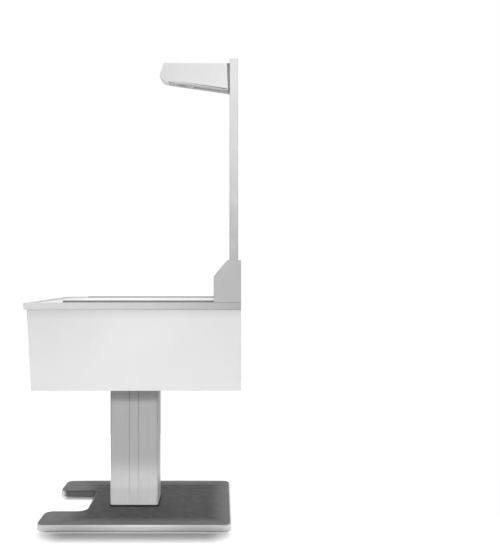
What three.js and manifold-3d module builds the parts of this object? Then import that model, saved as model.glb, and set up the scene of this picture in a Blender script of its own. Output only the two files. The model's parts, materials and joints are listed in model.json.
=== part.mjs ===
// A self-service checkout kiosk: a notched floor plate, a telescopic lifting column, a deep cabinet
// with a weighing platter on top, a rear upstand, and a sliding mast that carries an overhead
// scanning head. Millimetres, +Z up. The shopper stands at -Y, widths run along X, and the origin
// is on the floor under the middle of the counter.
import * as THREE from "three";
import { mergeVertices } from "three/addons/utils/BufferGeometryUtils.js";
import Module from "manifold-3d";

const wasm = await Module();
wasm.setup();

// General
const GAP = 0.3; // left between pieces that touch
const EASE = 0.4; // left round a piece that drops into an opening
const SHEET = 2; // thickness of the folded sheet metal
const ROUND = 24; // sides of a round piece

// Floor plate
const PLATE_WIDTH = 580;
const PLATE_FRONT = -366.5;
const PLATE_REAR = 352.5;
const PLATE_BOTTOM = 8;
const PLATE_TOP = 31;
const COVER_TOP = 33;
const COVER_INSET = 4;
const NOTCH_WIDTH = 264;
const NOTCH_END = -208;
const TIP_RADIUS = 32;
const NOTCH_RADIUS = 38;
const REAR_RADIUS = 30;
const FOOT_X = 245;
const FOOT_FRONT_Y = -322;
const FOOT_REAR_Y = 310;
const FOOT_RADIUS = 25;
const STUD_RADIUS = 6;
const STUD_TOP = 24;

// Lifting column
const COLUMN_Y = -29.5;
const TUBE_WIDTH = 140;
const TUBE_DEPTH = 189;
const TUBE_WALL = 4;
const TUBE_TOP = 520;
const TUBE_RADIUS = 8;
const GASKET = { proud: 4, wall: 3.6, height: 4 };
const GROOVE_SPACING = 36;
const GROOVE_WIDTH = 3;
const GROOVE_DEPTH = 1.5;
const STAGE_INSET = 7; // the inner tube is this much smaller on each side
const STAGE_WALL = 3.5;
const STAGE_BOTTOM = 160;
const STAGE_TOP = 530;
const COLLAR_TOP = 526;
const COLLAR_PROUD = 1;
const GLIDE_HEIGHT = 80;
const MOTOR_WIDTH = 100;
const MOTOR_DEPTH = 120;
const MOTOR_BASE_HEIGHT = 50;
const MOTOR_RADIUS = 42;
const MOTOR_TOP = 150;
const SPINDLE_RADIUS = 12;
const SPINDLE_TOP = 450;
const JOURNAL_RADIUS = 8;
const JOURNAL_LENGTH = 14;
const NUT_HEIGHT = 20;
const NUT_CLEARANCE = 0.6; // round the spindle

// Cabinet
const CABINET_WIDTH = 736;
const CABINET_BOTTOM = 536;
const CABINET_FRONT_TOP = -376.5; // the front leans back towards its lower edge
const CABINET_FRONT_BOTTOM = -360.5;
const BEAM_X = 75;
const BEAM_SIZE = [40, 680, 25];
const REAR_FOLD = 14;
const COMPUTER = { x: [-330, -120], y: [-110, 150], height: 62 };
const CONTROL_BOX = { x: [125, 315], y: [-110, 60], height: 48 };

// Counter
const COUNTER_WIDTH = 750;
const COUNTER_DEPTH = 773;
const COUNTER_TOP = 850;
const RAIL_WIDTH = 12;
const RAIL_HEIGHT = 25;
const DECK_TOP = 845;
const DECK_THICKNESS = 3;
const PLATTER_WIDTH = 498;
const PLATTER_FRONT = -271;
const PLATTER_REAR = 286.5;
const PLATTER_THICKNESS = 3.3;
const GUIDE_WIDTH = 15;
const GUIDE_TOP = 854;
const POST_SPACING = 260;
const POST_RADIUS = 6;
const LOAD_CELL = [130, 30, 18];
const CELL_ARM = { width: 26, height: 6, spare: 24 };

// Upstand
const UPSTAND_FRONT = 289;
const UPSTAND_TOP = 1001;
const SLOPE_BOTTOM = 942.5;
const SLOPE_TOP_Y = 337;
const SLOPE_MARGIN = 1.5; // kept clear at each folded corner
const WINDOW_HEIGHT = 52;
const WINDOW_START = 12;
const DISPLAY_WIDTH = 200;
const DISPLAY_DEPTH = 14;
const READER_X = 193;
const READER_WIDTH = 86;
const READER_DEPTH = 18;
const READER_PROUD = 1.2;
const RECEIPT_X = -275;
const RECEIPT_Z = 905;
const RECEIPT_SLOT = [84, 7];
const PRINTER_SIZE = [110, 76, 78];
const SPEAKER_X = 275;
const SPEAKER_SLOTS = 5;
const SPEAKER_SLOT = [64, 3];
const SPEAKER_PITCH = 8;

// Mast and head
const MAST_WIDTH = 55;
const MAST_FRONT = 350;
const MAST_REAR = 384;
const MAST_WALL = 2.5;
const MAST_RADIUS = 3;
const MAST_BOTTOM = 720;
const MAST_TOP = 1820;
const MAST_CLEARANCE = 0.5;
const CAP_HEIGHT = 4;
const PLUG_LENGTH = 12;
const SLEEVE_WALL = 3.3;
const SLEEVE_BOTTOM = 700;
const MAST_COLLAR = { height: 4, wall: 2, radius: 4 };
const HEAD_WIDTH = 72;
const HEAD_TOP = 1802;
const HEAD_REAR = 344.5;
const HEAD_FRONT_TOP_Y = 86;
const HEAD_TIP = [68, 1749];
const NOSE_RADII = { top: 5, tip: 14, chin: 12 };
const NOSE_LENGTH = 14; // from the chin back to the nose's lower corner
const HEAD_CHIN = [98, 1727];
const HEAD_ROOT_BOTTOM = 1692;
const HEAD_WALL = 2.5;
const TRAY_WIDTH = 61;
const TRAY_START = 5;
const TRAY_END = 246;
const TRAY_BELOW = 2;
const TRAY_ABOVE = 6;
const TRAY_BEVEL = 5;
const MOUTH_REACH = 30; // the tray's opening runs on past its end, inside the head
const LIGHT_WINDOW = { start: 110, end: 234, width: 46 };
const DIFFUSER = { margin: 4, thickness: 8 }; // laid over the window from above
const CAMERA = { at: 62, radius: 17, length: 30, recess: 3, box: [44, 44, 16] };
const MOUNT_DROP = 4; // the mounting strip reaches this far below the head

// Service door and its lock
const DOOR_LEFT = 52;
const DOOR_DEPTH = 10;
const DOOR_FACE = 384.4;
const DOOR_CLEARANCE = 2.7;
const DOOR_BOTTOM = 540.5;
const DOOR_TOP = 822.2;
const PIN_OFFSET = 5; // from the hinge edge, and from the face
const PIN_RADIUS = 2.5;
const PIN_LENGTH = 8;
const BRACKET = [25, 12, 1.8];
const LOCK_X = 82;
const LOCK_Z = 680;
const LOCK_RADIUS = 9;
const LOCK_LENGTH = 18;
const LOCK_PROUD = 1;
const LOCK_FACE = { radius: 11, thickness: 1.7, proud: 2 };
const KEYWAY = [1.6, 4, 9];
const TONGUE = { size: [12, 2, 42], y: -14.6, z: -10 };
const VENT = { count: 7, length: 150, height: 5, pitch: 14, z: 760, offset: 20 };

// Height switch on the front panel
const SWITCH_X = 285;
const SWITCH_DROP = 46; // down the panel from its top edge
const SWITCH_FLANGE = [74, 30, 2.5];
const SWITCH_BODY = [58, 21, 16];
const BUTTON_X = 14;
const BUTTON_SIZE = [20, 9, 14];
const BUTTON_PROUD = 2;
const POCKET_DEPTH = 12;

// Power inlet in the bottom pan
const INLET_X = -262;
const INLET_Y = 262;
const INLET_FLANGE = [58, 76, 2.5];
const INLET_BODY = [48, 62, 30];
const SOCKET = { y: -14, size: [25, 18, 16] };
const ROCKER = { y: 16, size: [20, 24, 8], tilt: 8 };
const BLADE = [2, 5, 13];
const BLADE_SPREAD = 6.5;
const BLADE_ROWS = [-2, 3]; // the pair of blades, and the single one
const WELL_DEPTH = 14;

const FINISH = {
  whitePaint: { color: 0xe6e6e7, roughness: 0.42, metalness: 0.0 },
  greyPaint: { color: 0xb9b9ba, roughness: 0.45, metalness: 0.0 },
  railPaint: { color: 0xc6c5c6, roughness: 0.4, metalness: 0.2 },
  darkCover: { color: 0x565455, roughness: 0.6, metalness: 0.0 },
  platterWhite: { color: 0xf0f0ea, roughness: 0.3, metalness: 0.0 },
  aluminium: { color: 0xb4b4b6, roughness: 0.35, metalness: 0.9 },
  darkAluminium: { color: 0x9b9b9d, roughness: 0.35, metalness: 0.9 },
  silverPlate: { color: 0xb0b0b1, roughness: 0.3, metalness: 0.85 },
  steel: { color: 0x8f9193, roughness: 0.4, metalness: 0.9 },
  blackPlastic: { color: 0x232324, roughness: 0.55, metalness: 0.0 },
  greyPlastic: { color: 0x7c7c7e, roughness: 0.5, metalness: 0.0 },
  rubber: { color: 0x1b1b1b, roughness: 0.9, metalness: 0.0 },
  glass: { color: 0x101418, roughness: 0.08, metalness: 0.0 },
  diffuser: { color: 0xf6f6f2, roughness: 0.6, metalness: 0.0 },
  brass: { color: 0xb5924c, roughness: 0.35, metalness: 0.9 },
};

// Solids ----------------------------------------------------------------------------------------

function block([width, depth, height]) {
  return new THREE.BoxGeometry(width, depth, height);
}

function moved(geometry, x, y, z) {
  return geometry.translate(x, y, z);
}

/** A round bar along Z, from z 0 up. */
function bar(radius, height) {
  return new THREE.CylinderGeometry(radius, radius, height, ROUND)
    .rotateX(Math.PI / 2)
    .translate(0, 0, height / 2);
}

function extruded(shape, height, curveSegments = 5) {
  return new THREE.ExtrudeGeometry(shape, { depth: height, bevelEnabled: false, curveSegments });
}

/** An outline drawn in Y and Z, run along X about the middle plane. */
function acrossWidth(shape, width) {
  const turn = new THREE.Matrix4().makeBasis(
    new THREE.Vector3(0, 1, 0),
    new THREE.Vector3(0, 0, 1),
    new THREE.Vector3(1, 0, 0),
  );
  return extruded(shape, width).applyMatrix4(turn).translate(-width / 2, 0, 0);
}

/** A closed outline through [x, y, radius] corners, each rounded by a near-circular arc. */
function outline(corners) {
  const shape = new THREE.Shape();
  corners.forEach(([x, y, radius = 0], i) => {
    const corner = new THREE.Vector2(x, y);
    const before = new THREE.Vector2(...corners.at(i - 1)).sub(corner).normalize();
    const after = new THREE.Vector2(...corners[(i + 1) % corners.length]).sub(corner).normalize();
    const turn = Math.PI - Math.acos(before.dot(after));
    const reach = radius * Math.tan(turn / 2);
    const handle = reach - radius * (4 / 3) * Math.tan(turn / 4);
    const point = (direction, distance) => corner.clone().addScaledVector(direction, distance);
    const start = point(before, reach);
    if (i === 0) {
      shape.moveTo(start.x, start.y);
    } else {
      shape.lineTo(start.x, start.y);
    }
    if (radius > 0) {
      const first = point(before, handle);
      const second = point(after, handle);
      const end = point(after, reach);
      shape.bezierCurveTo(first.x, first.y, second.x, second.y, end.x, end.y);
    }
  });
  shape.closePath();
  return shape;
}

function rectangle(width, depth, radius = 0) {
  const x = width / 2;
  const y = depth / 2;
  return outline([
    [-x, -y, radius],
    [x, -y, radius],
    [x, y, radius],
    [-x, y, radius],
  ]);
}

/** A rectangular ring or tube, from z 0 up. */
function tube(width, depth, wall, height, radius = 0) {
  const shape = rectangle(width, depth, radius);
  const inside = rectangle(width - 2 * wall, depth - 2 * wall, Math.max(radius - wall, 0));
  shape.holes.push(inside);
  return extruded(shape, height);
}

function toSolid(geometry) {
  const bare = geometry.clone();
  bare.deleteAttribute("normal");
  bare.deleteAttribute("uv");
  const merged = mergeVertices(bare);
  const mesh = new wasm.Mesh({
    numProp: 3,
    vertProperties: Float32Array.from(merged.attributes.position.array),
    triVerts: Uint32Array.from(merged.index.array),
  });
  return new wasm.Manifold(mesh);
}

function toGeometry(solid) {
  const mesh = solid.getMesh();
  const geometry = new THREE.BufferGeometry();
  geometry.setAttribute("position", new THREE.Float32BufferAttribute(mesh.vertProperties, 3));
  geometry.setIndex(new THREE.Uint32BufferAttribute(mesh.triVerts, 1));
  geometry.computeVertexNormals();
  return geometry;
}

function cut(body, tools) {
  return toGeometry(tools.reduce((solid, tool) => solid.subtract(toSolid(tool)), toSolid(body)));
}

function joined(pieces) {
  return toGeometry(pieces.map(toSolid).reduce((solid, piece) => solid.add(piece)));
}

/** Adds one named piece to a group, with a material of its own. */
function piece(group, name, geometry, finish, x = 0, y = 0, z = 0) {
  const mesh = new THREE.Mesh(geometry, new THREE.MeshStandardMaterial(FINISH[finish]));
  mesh.name = name;
  mesh.position.set(x, y, z);
  group.add(mesh);
}

/** A box piece given by its limits. */
function plate(group, name, finish, [x0, x1], [y0, y1], [z0, z1]) {
  const geometry = block([x1 - x0, y1 - y0, z1 - z0]);
  piece(group, name, geometry, finish, (x0 + x1) / 2, (y0 + y1) / 2, (z0 + z1) / 2);
}

// Floor plate -----------------------------------------------------------------------------------

function floorOutline(inset) {
  const side = PLATE_WIDTH / 2 - inset;
  const notch = NOTCH_WIDTH / 2 + inset;
  const front = PLATE_FRONT + inset;
  const rear = PLATE_REAR - inset;
  const end = NOTCH_END + inset;
  const tip = TIP_RADIUS - inset;
  const hollow = NOTCH_RADIUS + inset;
  const back = REAR_RADIUS - inset;
  return outline([
    [-side, front, tip],
    [-notch, front, tip],
    [-notch, end, hollow],
    [notch, end, hollow],
    [notch, front, tip],
    [side, front, tip],
    [side, rear, back],
    [-side, rear, back],
  ]);
}

function levellingFoot() {
  const profile = [
    [0, 0],
    [FOOT_RADIUS - 1, 0],
    [FOOT_RADIUS, 1],
    [FOOT_RADIUS, 4],
    [FOOT_RADIUS / 2, PLATE_BOTTOM - GAP],
    [STUD_RADIUS, PLATE_BOTTOM - GAP],
    [STUD_RADIUS, STUD_TOP],
    [0, STUD_TOP],
  ];
  const points = profile.map(([radius, z]) => new THREE.Vector2(radius, z));
  return new THREE.LatheGeometry(points, ROUND).rotateX(Math.PI / 2);
}

function addFloorPlate(group) {
  const places = [
    [-FOOT_X, FOOT_FRONT_Y],
    [FOOT_X, FOOT_FRONT_Y],
    [FOOT_X, FOOT_REAR_Y],
    [-FOOT_X, FOOT_REAR_Y],
  ];
  const holes = places.map(([x, y]) => moved(bar(STUD_RADIUS + 0.5, STUD_TOP - 5), x, y, -2));
  const steel = cut(extruded(floorOutline(0), PLATE_TOP - PLATE_BOTTOM), holes);
  piece(group, "base_plate", steel, "silverPlate", 0, 0, PLATE_BOTTOM);
  const cover = extruded(floorOutline(COVER_INSET), COVER_TOP - PLATE_TOP - GAP);
  piece(group, "base_cover", cover, "darkCover", 0, 0, PLATE_TOP + GAP);
  places.forEach(([x, y], i) => {
    piece(group, `levelling_foot_${i + 1}`, levellingFoot(), "rubber", x, y, 0);
  });
}

// Lifting column --------------------------------------------------------------------------------

/** Two upright grooves in each wide face of a column tube. */
function grooves(width, height) {
  const size = [2 * GROOVE_DEPTH, GROOVE_WIDTH, height + 2];
  const places = [-1, 1].flatMap((side) => [-1, 1].map((end) => [side, end]));
  return places.map(([side, end]) =>
    moved(block(size), (side * width) / 2, (end * GROOVE_SPACING) / 2, height / 2),
  );
}

function addColumn(group) {
  const column = new THREE.Group();
  column.position.y = COLUMN_Y;
  group.add(column);
  const foot = COVER_TOP + GAP;

  const { proud, wall: gasketWall, height: gasketHeight } = GASKET;
  const gasketWidth = TUBE_WIDTH + 2 * proud;
  const gasketDepth = TUBE_DEPTH + 2 * proud;
  const gasket = tube(gasketWidth, gasketDepth, gasketWall, gasketHeight, TUBE_RADIUS + proud);
  piece(column, "column_foot_gasket", gasket, "rubber", 0, 0, foot);

  const height = TUBE_TOP - foot;
  const outer = tube(TUBE_WIDTH, TUBE_DEPTH, TUBE_WALL, height, TUBE_RADIUS);
  const outerTube = cut(outer, grooves(TUBE_WIDTH, height));
  piece(column, "column_outer_tube", outerTube, "aluminium", 0, 0, foot);

  const stageWidth = TUBE_WIDTH - 2 * STAGE_INSET;
  const stageDepth = TUBE_DEPTH - 2 * STAGE_INSET;
  const collarWidth = TUBE_WIDTH + 2 * COLLAR_PROUD;
  const collarWall = STAGE_INSET + COLLAR_PROUD - 0.5;
  const collarHeight = COLLAR_TOP - TUBE_TOP - GAP;
  const collarDepth = TUBE_DEPTH + 2 * COLLAR_PROUD;
  const collar = tube(collarWidth, collarDepth, collarWall, collarHeight, TUBE_RADIUS + COLLAR_PROUD);
  piece(column, "column_wiper_collar", collar, "blackPlastic", 0, 0, TUBE_TOP + GAP);

  const glideInset = TUBE_WALL + GAP;
  const glideWall = STAGE_INSET - glideInset - EASE;
  const glideWidth = TUBE_WIDTH - 2 * glideInset;
  const glideDepth = TUBE_DEPTH - 2 * glideInset;
  const glide = tube(glideWidth, glideDepth, glideWall, GLIDE_HEIGHT, TUBE_RADIUS - glideInset);
  piece(column, "column_glide_liner", glide, "greyPlastic", 0, 0, TUBE_TOP - GLIDE_HEIGHT);

  const motorHeight = MOTOR_TOP - foot;
  const motor = joined([
    moved(block([MOTOR_WIDTH, MOTOR_DEPTH, MOTOR_BASE_HEIGHT]), 0, 0, MOTOR_BASE_HEIGHT / 2),
    bar(MOTOR_RADIUS, motorHeight),
  ]);
  const neck = JOURNAL_LENGTH + 3; // the journal stands this tall, with its shoulder above the motor
  const bearing = moved(bar(JOURNAL_RADIUS + 0.5, neck), 0, 0, motorHeight - JOURNAL_LENGTH - 1);
  piece(column, "lift_motor", cut(motor, [bearing]), "blackPlastic", 0, 0, foot);

  const profile = [
    [0, 0],
    [JOURNAL_RADIUS, 0],
    [JOURNAL_RADIUS, neck],
    [SPINDLE_RADIUS, neck],
    [SPINDLE_RADIUS, SPINDLE_TOP - MOTOR_TOP + JOURNAL_LENGTH],
    [0, SPINDLE_TOP - MOTOR_TOP + JOURNAL_LENGTH],
  ];
  const points = profile.map(([radius, z]) => new THREE.Vector2(radius, z));
  const spindle = new THREE.LatheGeometry(points, ROUND).rotateX(Math.PI / 2);
  piece(column, "lift_spindle", spindle, "steel", 0, 0, MOTOR_TOP - JOURNAL_LENGTH);

  const stageHeight = STAGE_TOP - STAGE_BOTTOM;
  const stage = tube(stageWidth, stageDepth, STAGE_WALL, stageHeight, TUBE_RADIUS - 2);
  const innerTube = cut(stage, grooves(stageWidth, stageHeight));
  piece(column, "column_inner_tube", innerTube, "darkAluminium", 0, 0, STAGE_BOTTOM);

  const nutInset = 2 * STAGE_WALL + 1;
  const nut = extruded(rectangle(stageWidth - nutInset, stageDepth - nutInset, 4), NUT_HEIGHT);
  const thread = moved(bar(SPINDLE_RADIUS + NUT_CLEARANCE, NUT_HEIGHT + 4), 0, 0, -2);
  piece(column, "spindle_nut", cut(nut, [thread]), "brass", 0, 0, STAGE_BOTTOM);

  const flangeHeight = CABINET_BOTTOM - STAGE_TOP - 2 * GAP;
  const flange = extruded(rectangle(TUBE_WIDTH, TUBE_DEPTH, TUBE_RADIUS), flangeHeight);
  piece(column, "column_top_flange", flange, "darkAluminium", 0, 0, STAGE_TOP + GAP);
}

// Cabinet ---------------------------------------------------------------------------------------

const PANEL_TOP = COUNTER_TOP - RAIL_HEIGHT - GAP;
const REAR = COUNTER_DEPTH / 2;
const PANEL_INNER = CABINET_WIDTH / 2 - SHEET;
const FRONT_LEAN = Math.atan2(CABINET_FRONT_BOTTOM - CABINET_FRONT_TOP, PANEL_TOP - CABINET_BOTTOM);

function addCabinet(group) {
  const side = outline([
    [CABINET_FRONT_BOTTOM, CABINET_BOTTOM],
    [REAR, CABINET_BOTTOM],
    [REAR, PANEL_TOP],
    [CABINET_FRONT_TOP, PANEL_TOP],
  ]);
  const sideX = CABINET_WIDTH / 2 - SHEET / 2;
  piece(group, "cabinet_left_panel", acrossWidth(side, SHEET), "whitePaint", -sideX);
  piece(group, "cabinet_right_panel", acrossWidth(side, SHEET), "whitePaint", sideX);

  const front = outline([
    [CABINET_FRONT_BOTTOM, CABINET_BOTTOM],
    [CABINET_FRONT_BOTTOM + SHEET, CABINET_BOTTOM],
    [CABINET_FRONT_TOP + SHEET, PANEL_TOP],
    [CABINET_FRONT_TOP, PANEL_TOP],
  ]);
  const frontSheet = acrossWidth(front, 2 * (PANEL_INNER - GAP));
  const [bodyWidth, bodyHeight] = SWITCH_BODY;
  const switchZ = PANEL_TOP - SWITCH_DROP * Math.cos(FRONT_LEAN);
  const switchY = CABINET_FRONT_TOP + SWITCH_DROP * Math.sin(FRONT_LEAN);
  const window = block([bodyWidth + 2 * EASE, 12, bodyHeight + 2 * EASE]).rotateX(FRONT_LEAN);
  const frontPanel = cut(frontSheet, [moved(window, SWITCH_X, switchY, switchZ)]);
  piece(group, "cabinet_front_panel", frontPanel, "whitePaint");

  const foldX = DOOR_LEFT - 4;
  const left = -PANEL_INNER + GAP;
  const bottom = CABINET_BOTTOM + SHEET + GAP;
  const height = PANEL_TOP - bottom;
  const rearSheet = joined([
    moved(block([foldX - left, SHEET, height]), (foldX + left) / 2, REAR - SHEET / 2, 0),
    moved(block([SHEET, REAR_FOLD, height]), foldX - SHEET / 2, REAR - REAR_FOLD / 2, 0),
  ]);
  piece(group, "cabinet_rear_panel", rearSheet, "whitePaint", 0, 0, bottom + height / 2);

  const panFront = CABINET_FRONT_BOTTOM + SHEET + 0.5;
  const panDepth = REAR - panFront;
  const pan = block([2 * (PANEL_INNER - GAP), panDepth, SHEET]);
  const [inletWidth, inletDepth] = INLET_BODY;
  const panY = (REAR + panFront) / 2;
  const opening = block([inletWidth + 2 * EASE, inletDepth + 2 * EASE, 10]);
  const hole = moved(opening, INLET_X, INLET_Y - panY, 0);
  piece(group, "cabinet_bottom_pan", cut(pan, [hole]), "whitePaint", 0, panY, CABINET_BOTTOM + SHEET / 2);

  const beamZ = CABINET_BOTTOM + SHEET + GAP + BEAM_SIZE[2] / 2;
  piece(group, "mounting_beam_left", block(BEAM_SIZE), "steel", -BEAM_X, 0, beamZ);
  piece(group, "mounting_beam_right", block(BEAM_SIZE), "steel", BEAM_X, 0, beamZ);

  const floor = CABINET_BOTTOM + SHEET + GAP;
  const computerZ = [floor, floor + COMPUTER.height];
  plate(group, "kiosk_computer", "blackPlastic", COMPUTER.x, COMPUTER.y, computerZ);
  const controlZ = [floor, floor + CONTROL_BOX.height];
  plate(group, "lift_control_box", "greyPlastic", CONTROL_BOX.x, CONTROL_BOX.y, controlZ);
}

// Service door ----------------------------------------------------------------------------------

function addServiceDoor(group) {
  const right = PANEL_INNER - DOOR_CLEARANCE;
  const width = right - DOOR_LEFT;
  const height = DOOR_TOP - DOOR_BOTTOM;
  const centreX = (right + DOOR_LEFT) / 2;
  const centreZ = (DOOR_TOP + DOOR_BOTTOM) / 2;
  const centreY = DOOR_FACE - DOOR_DEPTH / 2;
  const pinX = right - PIN_OFFSET;
  const pinY = DOOR_FACE - PIN_OFFSET;
  const hollow = moved(block([width - 2 * SHEET, DOOR_DEPTH, height - 2 * SHEET]), 0, -SHEET, 0);
  const bore = bar(PIN_RADIUS + GAP, height + 4);
  const pinHole = moved(bore, pinX - centreX, pinY - centreY, -height / 2 - 2);
  const lockHole = bar(LOCK_RADIUS + GAP, 40).rotateX(Math.PI / 2);
  const vents = Array.from({ length: VENT.count }, (_, i) =>
    moved(block([VENT.length, 20, VENT.height]), VENT.offset, 0, VENT.z - centreZ - i * VENT.pitch),
  );
  const door = cut(block([width, DOOR_DEPTH, height]), [
    hollow,
    pinHole,
    moved(lockHole, LOCK_X - centreX, 20, LOCK_Z - centreZ),
    ...vents,
  ]);
  piece(group, "service_door", door, "whitePaint", centreX, centreY, centreZ);

  const [bracketWidth, bracketDepth, bracketHeight] = BRACKET;
  const bracketX = PANEL_INNER - GAP - bracketWidth / 2;
  const leaf = () => block(BRACKET);
  const pin = () => bar(PIN_RADIUS, PIN_LENGTH);
  const reach = pinX - bracketX;
  const upper = joined([leaf(), moved(pin(), reach, 0, -PIN_LENGTH)]);
  const lower = joined([leaf(), moved(pin(), reach, 0, 0)]);
  const stand = EASE + bracketHeight / 2;
  piece(group, "door_hinge_upper", upper, "steel", bracketX, pinY, DOOR_TOP + stand);
  piece(group, "door_hinge_lower", lower, "steel", bracketX, pinY, DOOR_BOTTOM - stand);

  const barrel = bar(LOCK_RADIUS, LOCK_LENGTH).rotateX(Math.PI / 2).translate(0, LOCK_PROUD, 0);
  const rim = bar(LOCK_FACE.radius, LOCK_FACE.thickness).rotateX(Math.PI / 2);
  const face = moved(rim, 0, LOCK_FACE.proud, 0);
  const tongue = moved(block(TONGUE.size), 0, TONGUE.y, TONGUE.z);
  const keyway = moved(block(KEYWAY), 0, LOCK_FACE.proud, 0);
  const lock = cut(joined([barrel, face, tongue]), [keyway]);
  piece(group, "door_lock", lock, "steel", LOCK_X, DOOR_FACE, LOCK_Z);
}

// Counter ---------------------------------------------------------------------------------------

function addCounter(group) {
  const half = COUNTER_WIDTH / 2;
  const z = [COUNTER_TOP - RAIL_HEIGHT, COUNTER_TOP];
  const within = half - RAIL_WIDTH - GAP;
  plate(group, "counter_rail_left", "railPaint", [-half, -half + RAIL_WIDTH], [-REAR, REAR], z);
  plate(group, "counter_rail_right", "railPaint", [half - RAIL_WIDTH, half], [-REAR, REAR], z);
  plate(group, "counter_rail_front", "railPaint", [-within, within], [-REAR, -REAR + RAIL_WIDTH], z);

  const sleeveHalf = MAST_WIDTH / 2 + MAST_CLEARANCE + SLEEVE_WALL + 0.5;
  const rear = block([2 * within, RAIL_WIDTH, RAIL_HEIGHT]);
  const recess = moved(block([2 * sleeveHalf, RAIL_WIDTH, RAIL_HEIGHT + 4]), 0, -SHEET, 0);
  const railZ = COUNTER_TOP - RAIL_HEIGHT / 2;
  piece(group, "counter_rail_rear", cut(rear, [recess]), "railPaint", 0, REAR - RAIL_WIDTH / 2, railZ);

  const deckHalf = REAR - RAIL_WIDTH - GAP;
  const sleeveFront = MAST_FRONT - MAST_CLEARANCE - SLEEVE_WALL - 0.5;
  const passage = block([2 * sleeveHalf, 60, 20]).translate(0, sleeveFront + 30, 0);
  const posts = postPlaces().map(([x, y]) => moved(bar(POST_RADIUS + 2, 20), x, y, -10));
  const deck = cut(block([2 * within, 2 * deckHalf, DECK_THICKNESS]), [passage, ...posts]);
  piece(group, "counter_deck", deck, "railPaint", 0, 0, DECK_TOP - DECK_THICKNESS / 2);

  const platterHalf = PLATTER_WIDTH / 2;
  const platterZ = [COUNTER_TOP - PLATTER_THICKNESS, COUNTER_TOP];
  const platterY = [PLATTER_FRONT, PLATTER_REAR];
  plate(group, "scale_platter", "platterWhite", [-platterHalf, platterHalf], platterY, platterZ);
  const guideX = [platterHalf + 1, platterHalf + 1 + GUIDE_WIDTH];
  const guideZ = [DECK_TOP + GAP, GUIDE_TOP];
  plate(group, "platter_guide_right", "greyPlastic", guideX, platterY, guideZ);
  plate(group, "platter_guide_left", "greyPlastic", guideX.map((x) => -x).reverse(), platterY, guideZ);

  const cellHeight = LOAD_CELL[2];
  const armHeight = CELL_ARM.height;
  const cellTop = DECK_TOP - DECK_THICKNESS - GAP;
  const armBottom = cellTop - cellHeight - armHeight;
  const postHeight = COUNTER_TOP - PLATTER_THICKNESS - GAP - armBottom;
  const armZ = armBottom + armHeight / 2;
  const middle = (PLATTER_FRONT + PLATTER_REAR) / 2;
  const armLength = POST_SPACING * Math.SQRT2 + CELL_ARM.spare;
  const arm = () => block([armLength, CELL_ARM.width, armHeight]);
  const spider = joined([
    moved(block(LOAD_CELL), 0, middle, cellTop - cellHeight / 2),
    moved(arm().rotateZ(Math.PI / 4), 0, middle, armZ),
    moved(arm().rotateZ(-Math.PI / 4), 0, middle, armZ),
    ...postPlaces().map(([x, y]) => moved(bar(POST_RADIUS, postHeight), x, y, armBottom)),
  ]);
  piece(group, "scale_load_cell", spider, "aluminium");
}

/** The four posts that carry the platter through the deck. */
function postPlaces() {
  const middle = (PLATTER_FRONT + PLATTER_REAR) / 2;
  const half = POST_SPACING / 2;
  return [-1, 1].flatMap((i) => [-1, 1].map((j) => [i * half, middle + j * half]));
}

// Upstand ---------------------------------------------------------------------------------------

const SLOPE_ANGLE = Math.atan2(UPSTAND_TOP - SLOPE_BOTTOM, SLOPE_TOP_Y - UPSTAND_FRONT);
const SLOPE_LENGTH = Math.hypot(UPSTAND_TOP - SLOPE_BOTTOM, SLOPE_TOP_Y - UPSTAND_FRONT);

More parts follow.
